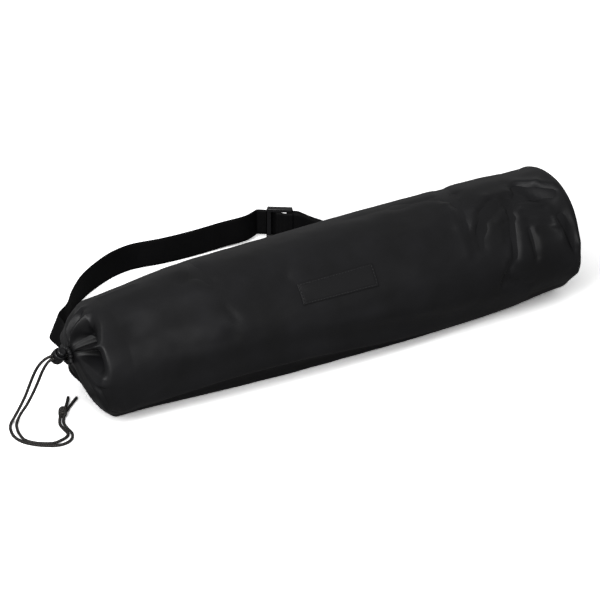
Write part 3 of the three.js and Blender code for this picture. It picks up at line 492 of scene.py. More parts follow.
def cloth(part, share, angle, depth, fine=True):
    """Points of the cloth for a column of shares and a row of angles, as in the frame's own bag."""
    share, angle = np.broadcast_arrays(share[:, None], angle[None, :])
    corner = base_corner / bag_length
    ahead, out, end = np.zeros_like(share), np.ones_like(share), np.zeros_like(share)
    power = 1
    if part == "base":
        q = (1 - share) * math.pi / 2
        ahead, out = np.sin(q), np.cos(q)
        x = half_length - base_corner + base_corner * ahead
        along = corner * (1 - ahead)
        radius = bag_radius * read_table(girths, corner, 1) - base_corner * (1 - out)
        height = bag_radius * read_table(girths, corner, 2) + 0 * share
        run = x
    elif part == "tube":
        along = corner + share * (1 - corner)
        x = half_length - along * bag_length
        radius, height = bag_radius * read_table(girths, along, 1), bag_radius * read_table(girths, along, 2)
        run = x
    else:
        power = read_table(fullness, np.where(angle > 300, angle - 360, angle), 1)
        u, w = np.sin(share * math.pi / 2), np.cos(share * math.pi / 2).clip(0)
        even = (u ** power + w ** power) ** (1 / power)
        u, w = u / even, w / even
        shoulder_radius = bag_radius * read_table(girths, 1, 1)
        shoulder_height = bag_radius * read_table(girths, 1, 2)
        along = 1 + 0 * share
        x = -half_length - gather_reach * u
        radius = mouth_radius + (shoulder_radius - mouth_radius) * w
        height = shoulder_height + (mouth_height - shoulder_height) * smooth_step(1 - w, 0, 1)
        ahead, out = -(u ** (power - 1)) / gather_reach, (w ** (power - 1)) / (shoulder_radius - mouth_radius)
        size = np.hypot(ahead, out)
        ahead, out, end = ahead / size, out / size, share
        run = -half_length - end_way * share
    fade = 1 - smooth_step(end, 0, crease_ends)
    rise = fade * (crease_rise(along, angle) + fold_rise(along, angle)) + gather_rise(end, angle, power)
    if fine:
        rise = rise + line_rise(run, angle, radius)
    pull_from, pull_to = crease_pulls
    pull = smooth_step(angle, pull_from, crease_angle) * (1 - smooth_step(angle, crease_angle, pull_to))
    shift = (read_table(crease_line, along, 1) - crease_angle) * pull
    turned = np.radians(angle + fade * shift)
    on_end = part == "end"
    far = radius + (rise * out if on_end else rise) - depth * out
    z = height + far * np.cos(turned)
    front = x + (rise * ahead if on_end else 0) - depth * ahead
    return np.stack([front, -far * np.sin(turned), np.maximum(z, depth)], axis=-1)


crowd_middle = 50
crowd_more = 1.5
crowd_edge = (-0.2, 0.4)


def crowded_angles(count):
    """Angles round the bag from the crease on, closer together over its front and top than underneath."""
    even = crease_angle + np.arange(721) / 2
    close = 1 + crowd_more * smooth_step(np.cos(np.radians(even - crowd_middle)), *crowd_edge)
    reached = np.concatenate([[0], np.cumsum((close[1:] + close[:-1]) / 2)])
    return np.interp(np.arange(count) * reached[-1] / count, reached, even) % 360


def cloth_rows(steps_base, steps_tube, steps_end, steps_around, depth, fine=True):
    """The whole tube's points, row by row from the base seam to the mouth."""
    angle = crowded_angles(steps_around)
    t = np.arange(steps_tube) / steps_tube
    crowded = t - 0.6 * np.sin(2 * math.pi * t) / (2 * math.pi)
    return np.concatenate([
        cloth("base", np.arange(steps_base) / steps_base, angle, depth, fine),
        cloth("tube", crowded, angle, depth, fine),
        cloth("end", np.linspace(0, 1, steps_end + 1), angle, depth, fine),
    ])


def settle(rows, passes, share):
    """Evens the cloth out a little, as the filling inside pushes small corners out."""
    for _ in range(passes):
        around = (np.roll(rows, 1, axis=1) + np.roll(rows, -1, axis=1)) / 2
        along = rows.copy()
        along[1:-1] = (rows[2:] + rows[:-2]) / 2
        mean = (around + along) / 2
        rows[1:-1] += share * (mean - rows)[1:-1]
    return rows


# The tube is one closed wall: a fine outside, a coarser inside, and both rims joined two points to one.
outside = settle(cloth_rows(base_steps, tube_steps, end_steps, around_steps, 0), passes=1, share=0.3)
# Small crumples: height, size along the bag, size across it, and where their noise starts. They fade out near
# the table and stop short of both rims.
crumples = [(0.55, 46, 30, 0), (0.30, 19, 15, 7)]
crumple_sinks = 0.15
calm_height = 6
calm_rows = (2, 16)
crumple = np.zeros(outside.shape[:2])
for i, row in enumerate(outside):
    for k, p in enumerate(row):
        crumple[i, k] = sum(high * noise.noise(Vector((p[0] / long + start, p[1] / wide, p[2] / wide)))
                            for high, long, wide, start in crumples)
radial = outside.copy()
radial[..., 0] = 0
radial[..., 2] -= outside[..., 2].mean(axis=1, keepdims=True)
radial /= np.linalg.norm(radial, axis=-1, keepdims=True)
calm = smooth_step(outside[..., 2], 0, calm_height)[..., None]
calm[:calm_rows[0]] = 0
calm[-calm_rows[1]:] = 0
outside += radial * (crumple[..., None] - crumple_sinks) * calm
outside[..., 2] = np.maximum(outside[..., 2], 0)
inside = cloth_rows(2, 58, 22, around_steps // 2, cloth_wall, fine=False)


def two_walls(outer, inner):
    """Points and faces of a closed wall between an outer grid and an inner grid with half as many columns."""
    rows, count = outer.shape[:2]
    inner_rows, half = inner.shape[:2]
    points = np.concatenate([outer.reshape(-1, 3), inner.reshape(-1, 3)])
    shift = rows * count
    faces = []
    for i in range(rows - 1):
        for k in range(count):
            here, there, after = i * count, (i + 1) * count, (k + 1) % count
            faces.append((here + k, there + k, there + after, here + after))
    for i in range(inner_rows - 1):
        for k in range(half):
            here, there, after = shift + i * half, shift + (i + 1) * half, (k + 1) % half
            faces.append((here + k, here + after, there + after, there + k))
    last_inner = shift + (inner_rows - 1) * half
    for outer_start, inner_start, flip in ((0, shift, 1), (shift - count, last_inner, -1)):
        for k in range(half):
            a, b, c = (outer_start + j % count for j in (2 * k, 2 * k + 1, 2 * k + 2))
            d, e = inner_start + k, inner_start + (k + 1) % half
            faces += [f[::flip] for f in ((a, b, d), (b, e, d), (b, c, e))]
    return points, faces


# Coated plain-weave nylon: black, with a soft broad sheen on its creases. The weave's threads are 0.35 mm
# apart on the real cloth and are drawn 0.9 mm apart here so that they show close up. Fine crinkles run at
# random.
thread_gap = 0.9
nylon, surface = new_material("coated_nylon")
surface.inputs["Roughness"].default_value = 0.40
surface.inputs["Specular IOR Level"].default_value = 0.22
place = add_node(nylon, "ShaderNodeTexCoord")
cloud = add_node(nylon, "ShaderNodeTexNoise", {"Scale": 22.0, "Detail": 4.0},
                 {"Vector": place.outputs["Object"]})
tint = add_node(nylon, "ShaderNodeValToRGB", links={0: cloud.outputs["Fac"]})
tint.color_ramp.elements[0].position = 0.3
tint.color_ramp.elements[0].color = linear("#131314")
tint.color_ramp.elements[1].position = 0.75
tint.color_ramp.elements[1].color = linear("#1a1a1c")
nylon.node_tree.links.new(tint.outputs[0], surface.inputs["Base Color"])
crinkle = add_node(nylon, "ShaderNodeTexNoise",
                   {"noise_type": "RIDGED_MULTIFRACTAL", "Scale": 34.0, "Detail": 3.0, "Roughness": 0.5},
                   {"Vector": place.outputs["Object"]})
soft_bump = add_node(nylon, "ShaderNodeBump", {"Strength": 0.35, "Distance": 0.0006},
                     {"Height": crinkle.outputs["Fac"]})
threads = add_node(nylon, "ShaderNodeTexBrick", {"Scale": 1000 / thread_gap / 10, "Mortar Size": 0.03},
                   {"Vector": place.outputs["Object"]})
weave_bump = add_node(nylon, "ShaderNodeBump", {"Strength": 0.15, "Distance": 0.0001},
                      {"Height": threads.outputs["Fac"], "Normal": soft_bump.outputs[0]})
nylon.node_tree.links.new(weave_bump.outputs[0], surface.inputs["Normal"])

bag_points, bag_faces = two_walls(outside, inside)
bag = mesh_piece("cloth_tube", bag_points, bag_faces, nylon)
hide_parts("bag_body")
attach(bag, "bag")


# Base panel: a round of the same coated nylon, sewn inside the tube's turned edge and pushed out a little
# by what the bag holds. The seam puckers its edge, and a row of lock stitches runs round just inside it.
base_bulge = 4
panel_radius = 70
seam_reach = 2.2
seam_depth = 0.9
puckers = 34
pucker_height = 0.45
slack_height = 1.1
slack_size = 24
panel_rings = 30
stitch_inset = 6
stitch_length = 3.2
stitch_gap = 0.9
thread_width = 0.6
thread_sides = 6
rim = outside[0]
rim_middle = np.array([half_length, 0, bag_radius * girths[0][2]])
rim_turn = np.radians(crowded_angles(around_steps))


def panel_ring(share, depth):
    """One ring of the panel, from 0 at its middle to 1 at its seam."""
    radial = rim - rim_middle
    reach = np.linalg.norm(radial, axis=1, keepdims=True)
    ring = rim_middle + radial * (share * (reach - sewn_gap) / reach)
    pucker = pucker_height * np.sin(puckers * rim_turn + 2 * np.sin(3 * rim_turn))
    pucker = pucker * smooth_step(share, 0.80, 0.97)
    from_seam = (share - 1 + stitch_inset / panel_radius) * panel_radius
    seam_dip = seam_depth * math.exp(-((from_seam / seam_reach) ** 2))
    waves = np.array([noise.noise(Vector((p[1] / slack_size, p[2] / slack_size, 3))) for p in ring])
    slack = slack_height * waves * (1 - share ** 4)
    ring[:, 0] += base_bulge * (1 - share ** 2) - depth + (pucker - seam_dip + slack) * (share < 1)
    return ring


def joined(host, extras):
    """Joins extra pieces into a host piece, which keeps its name."""
    with bpy.context.temp_override(active_object=host, selected_editable_objects=[host, *extras]):
        bpy.ops.object.join()
    return host


# Bonded polyester thread: black, with a slight gloss that makes each stitch read as a small bright bead.
thread, surface = new_material("bonded_thread")
surface.inputs["Base Color"].default_value = linear("#1b1b1d")
surface.inputs["Roughness"].default_value = 0.45
twist = add_node(thread, "ShaderNodeTexWave", {"Scale": 900.0, "bands_direction": "DIAGONAL"},
                 {"Vector": add_node(thread, "ShaderNodeTexCoord").outputs["Object"]})
bump = add_node(thread, "ShaderNodeBump", {"Strength": 0.3, "Distance": 0.0001},
                {"Height": twist.outputs["Fac"]})
thread.node_tree.links.new(bump.outputs[0], surface.inputs["Normal"])


# One stitch from end to end: share of its length, lift in thread widths, and share of the thread's thickness.
stitch_shape = [(0, -0.7, 0.6), (0.15, 0.05, 1), (0.5, 0.3, 1), (0.85, 0.05, 1), (1, -0.7, 0.6)]


def stitch_row(path, ups, closed=False):
    """Stitches along a path on a surface, each a bead of thread that dips into the cloth at both ends."""
    line, ups = np.array(path, float), np.array(ups, float)
    if closed:
        line, ups = np.vstack([line, line[:1]]), np.vstack([ups, ups[:1]])
    run = np.concatenate([[0], np.cumsum(np.linalg.norm(np.diff(line, axis=0), axis=1))])
    count = max(int(round(run[-1] / (stitch_length + stitch_gap))), 1)
    pitch = run[-1] / count
    points, faces = [], []
    for number in range(count):
        loops = []
        for share, lift, thick in stitch_shape:
            at = number * pitch + stitch_gap / 2 + share * (pitch - stitch_gap)
            place = np.array([np.interp(at, run, line[:, c]) for c in range(3)])
            up = np.array([np.interp(at, run, ups[:, c]) for c in range(3)])
            up /= np.linalg.norm(up)
            way = np.array([np.interp(at + 0.5, run, line[:, c]) - np.interp(at - 0.5, run, line[:, c])
                            for c in range(3)])
            side = np.cross(way / max(np.linalg.norm(way), 1e-6), up)
            half = thread_width / 2
            loops.append([place + up * (lift * thread_width + half * thick * math.sin(t))
                          + side * half * thick * math.cos(t)
                          for t in np.arange(thread_sides) * 2 * math.pi / thread_sides])
        more_points, more_faces = lofted(loops)
        faces += [tuple(len(points) + i for i in face) for face in more_faces]
        points += more_points
    return mesh_piece("stitches", points, faces, thread)


ring_shares = np.linspace(1, 0.03, panel_rings)
panel_loops = [panel_ring(share, cloth_wall) for share in ring_shares[::-1]]
panel_loops += [panel_ring(share, 0) for share in ring_shares]
panel = mesh_piece("base_round", *lofted(panel_loops), nylon)
stitch_ring = panel_ring(1 - stitch_inset / panel_radius, -0.1)
panel = joined(panel, [stitch_row(stitch_ring, [(1, 0, 0)] * around_steps, closed=True)])
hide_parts("base_panel")
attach(panel, "bag")

# Gathered hem: the turned and doubled edge of the cloth that the draw cord runs in, pulled into a tight
# ruffle. Its pleats are uneven, as hand-drawn cloth is, and its lip is thin and folded back a little.
hem_radius = 11
hem_ruffle = 1.6
hem_pleats = 13
hem_around = 260
hem_sides = 18
hem_back = mouth_x - sewn_gap
hem_squeeze = 0.34
lip_back = 0.8
hem_loops = []
for i in range(hem_around):
    angle = 2 * math.pi * i / hem_around
    phase = hem_pleats * angle + 1.3 * math.sin(2 * angle + 0.7) + 0.8 * math.sin(5 * angle)
    pleat = 1 - 2 * abs(math.sin(phase / 2)) ** 0.8
    size = 0.75 + 0.25 * math.sin(3 * angle + 1)
    loop = []
    for k in range(hem_sides):
        turn = 2 * math.pi * k / hem_sides
        half = (hem_radius - hem_hole) / 2
        outer_part = 0.5 + 0.5 * math.cos(turn)
        far = hem_hole + half + (half + hem_ruffle * pleat * size * outer_part) * math.cos(turn)
        front = 0.5 - 0.5 * math.sin(turn)
        squeeze = 1 - hem_squeeze * outer_part * (0.5 - 0.5 * pleat * size)
        deep = hem_back - hem_depth / 2 + hem_depth / 2 * math.sin(turn) * squeeze
        far -= lip_back * front * outer_part * (0.5 + 0.5 * math.cos(phase * 0.5 + 1))
        loop.append((deep, far * math.sin(angle), mouth_height + far * math.cos(angle)))
    hem_loops.append(loop)
hem = mesh_piece("gathered_hem", *lofted(hem_loops[::-1], closed=True), nylon)
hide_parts("mouth_casing")
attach(hem, "bag")

# Label: a bare patch of black woven polyester satin, sewn flat to the front by a row of stitches inside its
# edge.
label_length = 103
label_height = 27
label_wall = 1.0
label_along = 0.542
label_around = 55.5
label_columns = 104
label_rows = 28
label_hem = 2.2
# The sewn row and the edge of the label sink a little: how far, and over what width.
row_sinks = 0.35
row_width = 0.9
edge_sinks = 0.25
edge_width = 0.7
# Height of the bag's middle line at the label, in shares of the radius.
middle_line = 0.844
label_share = label_along + (np.arange(label_columns + 1) / label_columns - 0.5) * label_length / bag_length
label_radius = bag_radius * read_table(girths, label_along, 1)
label_turn = math.degrees(label_height / label_radius)
label_angle = label_around + (np.arange(label_rows + 1) / label_rows - 0.5) * label_turn


def label_grid(depth):
    share = (label_share - base_corner / bag_length) / (1 - base_corner / bag_length)
    grid = cloth("tube", share, label_angle, depth)
    column, row = np.arange(label_columns + 1), np.arange(label_rows + 1)
    across = np.minimum(column, column[::-1]) * label_length / label_columns
    down = np.minimum(row, row[::-1]) * label_height / label_rows
    edge = np.minimum(across[:, None], down[None, :])
    sunk = row_sinks * np.exp(-(((edge - label_hem) / row_width) ** 2))
    sunk = sunk + edge_sinks * np.exp(-((edge / edge_width) ** 2))
    if depth < -sewn_gap:
        grid[..., 1:] -= sunk[..., None] * outward(grid)[..., 1:]
    return grid


def outward(grid):
    """Directions straight out from the bag's own middle line."""
    way = grid.copy()
    way[..., 0] = 0
    way[..., 2] -= bag_radius * middle_line
    return way / np.linalg.norm(way, axis=-1, keepdims=True)


def slab(top, under):
    """Points and faces of a closed sheet between two open grids of the same size."""
    rows, count = top.shape[:2]
    shift = rows * count
    points = np.concatenate([top.reshape(-1, 3), under.reshape(-1, 3)])
    faces = []
    for i in range(rows - 1):
        for k in range(count - 1):
            a, b, c, d = i * count + k, i * count + k + 1, (i + 1) * count + k + 1, (i + 1) * count + k
            faces += [(d, c, b, a), (shift + a, shift + b, shift + c, shift + d)]
    edge = list(range(count)) + [i * count + count - 1 for i in range(1, rows)]
    edge += [(rows - 1) * count + k for k in range(count - 2, -1, -1)]
    edge += [i * count for i in range(rows - 2, 0, -1)]
    for a, b in zip(edge, edge[1:] + edge[:1]):
        faces.append((a, b, shift + b, shift + a))
    return points, faces


# Woven satin: near black, smoother than the bag's cloth, with fine cross ribs 0.9 mm apart.
satin, surface = new_material("woven_satin")
surface.inputs["Base Color"].default_value = linear("#0d0d0f")
surface.inputs["Roughness"].default_value = 0.55
surface.inputs["Specular IOR Level"].default_value = 0.25
place = add_node(satin, "ShaderNodeTexCoord")
ribs = add_node(satin, "ShaderNodeTexWave", {"Scale": 350.0, "bands_direction": "X"},
                {"Vector": place.outputs["Object"]})
bump = add_node(satin, "ShaderNodeBump", {"Strength": 0.35, "Distance": 0.0002},
                {"Height": ribs.outputs["Fac"]})
satin.node_tree.links.new(bump.outputs[0], surface.inputs["Normal"])

label_top = label_grid(-sewn_gap - label_wall)
label_piece = mesh_piece("woven_label", *slab(label_top, label_grid(-sewn_gap)), satin)
inset = int(label_hem)
left, right = inset, label_columns - inset
low, high = inset, label_rows - inset
trail = [(i, low) for i in range(left, right)] + [(right, k) for k in range(low, high)]
trail += [(i, high) for i in range(right, left, -1)] + [(left, k) for k in range(high, low, -1)]
label_out = outward(label_top)
label_stitches = stitch_row([label_top[i, k] for i, k in trail], [label_out[i, k] for i, k in trail],
                            closed=True)
label_piece = joined(label_piece, [label_stitches])
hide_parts("label")
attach(label_piece, "bag")

# Cord lock: a two-part spring lock of moulded acetal. The barrel and its plunger are both pierced by one
# slot for the two strands. The barrel's belly is smooth, with a chamfered rim round the plunger.
lock_half_height = 10.5
lock_rim = 7
lock_bore = 5.8
lock_floor = 2.4
sliding_gap = 0.3
button_top = 12
button_travel = 4
button_web = 1.5
button_edge = 1.6
button_dish = 0.3
lathe_sides = 72
cord_half = cord_width / 2 + sliding_gap


def turned(name, outline, material):
    """A piece turned round the lock's own axis. The outline gives radius and height, from its low end up."""
    loops = [[lock_centre + press_way * y + (side_way * math.cos(t) + cord_way * math.sin(t)) * r
              for t in np.arange(lathe_sides) * 2 * math.pi / lathe_sides] for r, y in outline]
    return mesh_piece(name, *lofted(loops), material)


def with_slot(piece, low, high):
    """Cuts the slot for both strands through a piece of the lock, from low to high on its axis."""
    wide = (cord_spacing + cord_width + 2 * sliding_gap) / 2
    corners = [lock_centre + cord_way * a * 2 * lock_radius + press_way * b + side_way * c * wide
               for a in (-1, 1) for b in (low, high) for c in (-1, 1)]
    sides = [(0, 1, 3, 2), (4, 6, 7, 5), (0, 4, 5, 1), (2, 3, 7, 6), (0, 2, 6, 4), (1, 5, 7, 3)]
    cutter = mesh_piece("slot", corners, sides, acetal, False)
    change = piece.modifiers.new("slot", "BOOLEAN")
    change.object = cutter
    apply_changes(piece)
    bpy.data.objects.remove(cutter)


def apply_changes(piece, sharp=35):
    """Applies a piece's modifiers, and keeps its edges crisp past an angle."""
    shape = bpy.data.meshes.new_from_object(piece.evaluated_get(bpy.context.evaluated_depsgraph_get()))
    piece.modifiers.clear()
    piece.data = shape
    shape.polygons.foreach_set("use_smooth", [True] * len(shape.polygons))
    shape.set_sharp_from_angle(angle=math.radians(sharp))


# Moulded acetal: black, glossy on its rounds, with a faint grain from the mould and a little dust of wear.
acetal, surface = new_material("moulded_acetal")
surface.inputs["IOR"].default_value = 1.48
surface.inputs["Base Color"].default_value = linear("#101012")
place = add_node(acetal, "ShaderNodeTexCoord")
grain = add_node(acetal, "ShaderNodeTexNoise", {"Scale": 1400.0, "Detail": 2.0},
                 {"Vector": place.outputs["Object"]})
rub = add_node(acetal, "ShaderNodeTexNoise", {"Scale": 160.0, "Detail": 3.0},
               {"Vector": place.outputs["Object"]})
gloss = add_node(acetal, "ShaderNodeMapRange", {"To Min": 0.16, "To Max": 0.30},
                 {"Value": rub.outputs["Fac"]})
acetal.node_tree.links.new(gloss.outputs[0], surface.inputs["Roughness"])
bump = add_node(acetal, "ShaderNodeBump", {"Strength": 0.15, "Distance": 0.00008},
                {"Height": grain.outputs["Fac"]})
acetal.node_tree.links.new(bump.outputs[0], surface.inputs["Normal"])

# The barrel bulges as a rounded box does. An outline closes on the axis at a hair's width from it.
barrel_steps = 40
barrel_power = 3
axis_gap = 0.01
barrel_outline = [(axis_gap, -lock_half_height)]
for i in range(1, barrel_steps + 1):
    y = -lock_half_height + (lock_rim - 0.6 + lock_half_height) * (i / barrel_steps) ** 1.6
    bulge = (1 - (abs(y) / lock_half_height) ** barrel_power) ** (1 / barrel_power)
    barrel_outline.append((lock_radius * bulge, y))
rim_radius = barrel_outline[-1][0]
barrel_outline += [(rim_radius - 0.25, lock_rim - 0.2), (rim_radius - 0.6, lock_rim),
                   (lock_bore + 0.5, lock_rim), (lock_bore + 0.1, lock_rim - 0.4),
                   (lock_bore, lock_rim - 0.8),
                   (lock_bore, -lock_half_height + lock_floor), (axis_gap, -lock_half_height + lock_floor)]
barrel = turned("lock_barrel", barrel_outline, acetal)
with_slot(barrel, -cord_half, cord_half)
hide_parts("cord_lock_body")
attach(barrel, "bag")

button_radius = lock_bore - sliding_gap
button_steps = 8
button_outline = [(axis_gap, -cord_half - button_web), (button_radius, -cord_half - button_web)]
for i in range(button_steps + 1):
    t = math.pi / 2 * i / button_steps
    button_outline.append((button_radius - button_edge * (1 - math.cos(t)),
                           button_top - button_edge * (1 - math.sin(t))))
for i in range(1, button_steps):
    far = (button_radius - button_edge) * (1 - i / button_steps)
    button_outline.append((far, button_top - button_dish * (1 - (far / (button_radius - button_edge)) ** 2)))
button_outline.append((axis_gap, button_top - button_dish))
button = turned("lock_plunger", button_outline, acetal)
with_slot(button, -cord_half, cord_half + button_travel)
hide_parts("cord_lock_button")
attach(button, "cord_lock_button")

# Shoulder strap: one 32 mm polypropylene webbing in two pieces. The long piece is sewn to the back near the
# mouth, runs through the slider and doubles back; the short piece is folded round the slider's rail and
# sewn to the base.
strap_width = 32
strap_wall = 1.6
strap_spread = 290
tail_length = 60
fold_length = 30
slider_length = 30
slider_rail = 5
slider_bar = 4.5
slider_wall = 3.5
slider_end_height = 4.2
slider_end_wall = 8
layer_gap = 0.45
slider_place = (0.325, 0.910)
slider_turn = math.radians(-36)
# Where the strap lies: shares of half the bag's length and of the strap's spread, and the lean in degrees.
strap_route = [
    (-0.952, 0.330, 0), (-0.905, 0.430, -4), (-0.868, 0.548, -12), (-0.848, 0.638, -20),
    (-0.767, 0.690, -6), (-0.700, 0.767, -3), (-0.590, 0.870, 2), (-0.480, 0.940, 5), (-0.380, 0.985, 7),
    (-0.290, 1.000, 8), (-0.170, 0.980, 8), (-0.040, 0.970, 8), (0.090, 0.964, 7), (0.200, 0.954, 4),
]
short_route = [(0.405, 0.800), (0.450, 0.710), (0.520, 0.600), (0.630, 0.480), (0.760, 0.385), (0.880, 0.320)]
mouth_end = Vector((-0.962 * half_length, 0.5 * bag_radius, 0))
base_end = Vector((0.968 * half_length, 0.6 * bag_radius, 0))


def on_table(along, away):
    return Vector((along * half_length, away * strap_spread, 0))


def curve_point(points, t):
    """A point on the centripetal curve through the points, for t from 0 to 1 in equal shares between them."""
    given = [points[0] * 2 - points[1], *points, points[-1] * 2 - points[-2]]
    at = min(t, 1) * (len(points) - 1)
    i = min(int(at), len(points) - 2)
    p0, p1, p2, p3 = given[i:i + 4]
    t1 = (p1 - p0).length ** 0.5
    t2 = t1 + (p2 - p1).length ** 0.5
    t3 = t2 + (p3 - p2).length ** 0.5
    t = t1 + (t2 - t1) * (at - i)
    a1, a2, a3 = p0.lerp(p1, t / t1), p1.lerp(p2, (t - t1) / (t2 - t1)), p2.lerp(p3, (t - t2) / (t3 - t2))
    return a1.lerp(a2, t / t2).lerp(a2.lerp(a3, (t - t1) / (t3 - t1)), (t - t1) / (t2 - t1))


slider_middle = on_table(*slider_place)
along_slider = Vector((math.cos(slider_turn), math.sin(slider_turn), 0))
out_slider = Vector((along_slider.y, -along_slider.x, 0))
strap_lift = slider_end_height + sliding_gap
layer = slider_wall / 2 + sliding_gap + strap_wall / 2
over_fold = layer + strap_wall + layer_gap


def by_bar(along, out):
    """A station of the webbing beside the slider: its place, lean and lift."""
    return slider_middle + along_slider * along + out_slider * out, 0, strap_lift


short_points = [by_bar(slider_length / 2, -layer)[0], by_bar(slider_length / 2 + 5, -layer)[0],
                *[on_table(*row) for row in short_route], base_end]
line_steps = 200
strap_opens = (0, 20)
strap_lands = (20, 100)
short_line = [curve_point(short_points, t / line_steps) for t in range(line_steps + 1)]
short_run = np.concatenate([[0], np.cumsum([(b - a).length for a, b in zip(short_line, short_line[1:])])])


def on_short(distance, opened, layers):
    """A station on the short strap's way, opened at the slider and apart by whole layers further on."""
    t = np.interp(distance, short_run, np.arange(line_steps + 1)) / line_steps
    before, after = curve_point(short_points, max(t - 0.002, 0)), curve_point(short_points, min(t + 0.002, 1))
    way = (after - before).normalized()
    closed = layers * (strap_wall + layer_gap)
    off = opened + (closed - opened) * float(smooth_step(distance, *strap_opens))
    place = curve_point(short_points, t) + Vector((way.y, -way.x, 0)) * off
    return place, 0, strap_lift * (1 - float(smooth_step(distance, *strap_lands)))


def bag_back(corner):
    """How far out the back of the bag reaches at a corner of the webbing."""
    along = np.clip((half_length - corner.x) / bag_length, 0, 1)
    radius = bag_radius * read_table(girths, along, 1)
    drop = corner.z - bag_radius * read_table(girths, along, 2)
    angle = 360 - math.degrees(math.acos(np.clip(drop / radius, -1, 1)))
    reach = radius + fold_rise(along, angle) + sewn_gap
    return math.sqrt(max(reach ** 2 - drop ** 2, 0)) + sewn_gap


# A sewn end lies on the back of the bag, no further in than a share of its radius, and the stations next to
# it stay clear of the cloth.
seat_least = 0.6
seat_stations = 12


def webbing(stations, seated_end):
    """Webbing on its edge through its stations, seated on the bag at one end: its corners every rib step."""
    rings = []
    for i, (place, lean, lift) in enumerate(stations):
        way = stations[min(i + 1, len(stations) - 1)][0] - stations[max(i - 1, 0)][0]
        way.z = 0
        way.normalize()
        left = Vector((-way.y, way.x, 0))
        lean = math.radians(lean)
        up = Vector((0, 0, math.cos(lean))) + left * math.sin(lean)
        face = way.cross(up)
        rise = strap_width / 2 * math.cos(lean) + strap_wall / 2 * abs(math.sin(lean)) + lift
        middle = Vector((place.x, place.y, rise))
        rings.append([middle + up * (a * strap_width / 2) + face * (b * strap_wall / 2)
                      for a, b in ((-1, -1), (-1, 1), (1, 1), (1, -1))])
    for i, ring in enumerate(rings):
        for corner in ring:
            if i == seated_end:
                corner.y = max(bag_back(corner), seat_least * bag_radius)
            elif abs(i - seated_end) < seat_stations:
                corner.y = max(corner.y, bag_back(corner) + sewn_gap)
    corners = np.array([[tuple(c) for c in ring] for ring in rings])
    middles = corners.mean(axis=1)
    keep = np.concatenate([[True], np.linalg.norm(np.diff(middles, axis=0), axis=1) > 0.05])
    corners, middles = corners[keep], middles[keep]
    run = np.concatenate([[0], np.cumsum(np.linalg.norm(np.diff(middles, axis=0), axis=1))])
    table = np.column_stack([run, corners.reshape(len(run), 12)])
    at = np.linspace(0, run[-1], int(run[-1] / rib_step) + 1)
    fine = np.stack([read_table(table, at, c) for c in range(1, 13)], axis=-1).reshape(-1, 4, 3)
    return fine, at


# Each ring of the webbing is a flat loop: two faces with the selvedges rounded off between them.
rib_pitch = 2.0
rib_step = 0.5
rib_depth = 0.22
face_steps = 12
selvedge_thins = 0.45
selvedge_width = 1.6


def ribbed(name, fine, at, material):
    """The webbing's mesh: ribs across it, alternating between its two faces as the weave does."""
    loops = []
    for (low_in, low_out, high_out, high_in), run in zip(fine, at):
        rib = math.cos(2 * math.pi * run / rib_pitch)
        loop = []
        for k in range(2 * face_steps):
            on_out = k < face_steps
            t = (k if on_out else 2 * face_steps - 1 - k) / (face_steps - 1)
            edge = min(t, 1 - t) * strap_width
            inner, outer = low_in + (high_in - low_in) * t, low_out + (high_out - low_out) * t
            middle, half = (inner + outer) / 2, (outer - inner) / 2
            selvedge = 1 - selvedge_thins * math.exp(-((edge / selvedge_width) ** 2))
            thin = selvedge * (1 - rib_depth * (0.5 - 0.5 * (rib if on_out else -rib)))
            loop.append(middle + half * (thin if on_out else -thin))
        loops.append(loop)
    return mesh_piece(name, *lofted(loops), material)


# Polypropylene webbing: black, coarse ribbed weave 2 mm apart across the strap, matt with a slight waxy
# gleam.
polypropylene, surface = new_material("polypropylene_webbing")
surface.inputs["Roughness"].default_value = 0.6
surface.inputs["Specular IOR Level"].default_value = 0.12
place = add_node(polypropylene, "ShaderNodeTexCoord")
cloud = add_node(polypropylene, "ShaderNodeTexNoise", {"Scale": 60.0, "Detail": 2.0},
                 {"Vector": place.outputs["Object"]})
tint = add_node(polypropylene, "ShaderNodeValToRGB", links={0: cloud.outputs["Fac"]})
tint.color_ramp.elements[0].color = linear("#040405")
tint.color_ramp.elements[1].color = linear("#0a0a0b")
polypropylene.node_tree.links.new(tint.outputs[0], surface.inputs["Base Color"])
yarn = add_node(polypropylene, "ShaderNodeTexWave",
                {"Scale": 300.0, "bands_direction": "Z", "Distortion": 2.0},
                {"Vector": place.outputs["Object"]})
bump = add_node(polypropylene, "ShaderNodeBump", {"Strength": 0.4, "Distance": 0.0002},
                {"Height": yarn.outputs["Fac"]})
polypropylene.node_tree.links.new(bump.outputs[0], surface.inputs["Normal"])

long_points = [mouth_end, *[on_table(along, away) for along, away, lean in strap_route],
               by_bar(-slider_length / 2 - 12, -layer)[0]]
leans = [0, *[lean for along, away, lean in strap_route], 2]
long_steps = 60
lifts_from = 46
long_stations = []
for i in range(long_steps + 1):
    t = i / long_steps
    lean = float(np.interp(t * (len(leans) - 1), range(len(leans)), leans))
    lift = strap_lift * float(smooth_step(i, lifts_from, long_steps))
    long_stations.append((curve_point(long_points, t), lean, lift))
slot_length = (slider_length - 2 * slider_rail - slider_bar) / 2
slot_middle = (slider_bar + slot_length) / 2
crossing = 0.38 * slot_length
rail_along = (slider_length - slider_rail) / 2
long_stations += [by_bar(*place) for place in (
    (-slider_length / 2 + 1, -layer), (-slot_middle - crossing, -layer), (-slot_middle, 0),
    (-slot_middle + crossing, layer), (slider_bar / 4, layer), (slot_middle, over_fold),
    (rail_along, over_fold))]
tail_steps = 10
long_stations += [on_short(tail_length * i / tail_steps, over_fold + layer, 2) for i in range(tail_steps + 1)]
long_fine, long_at = webbing(long_stations, 0)
long_strap = ribbed("webbing_long", long_fine, long_at, polypropylene)

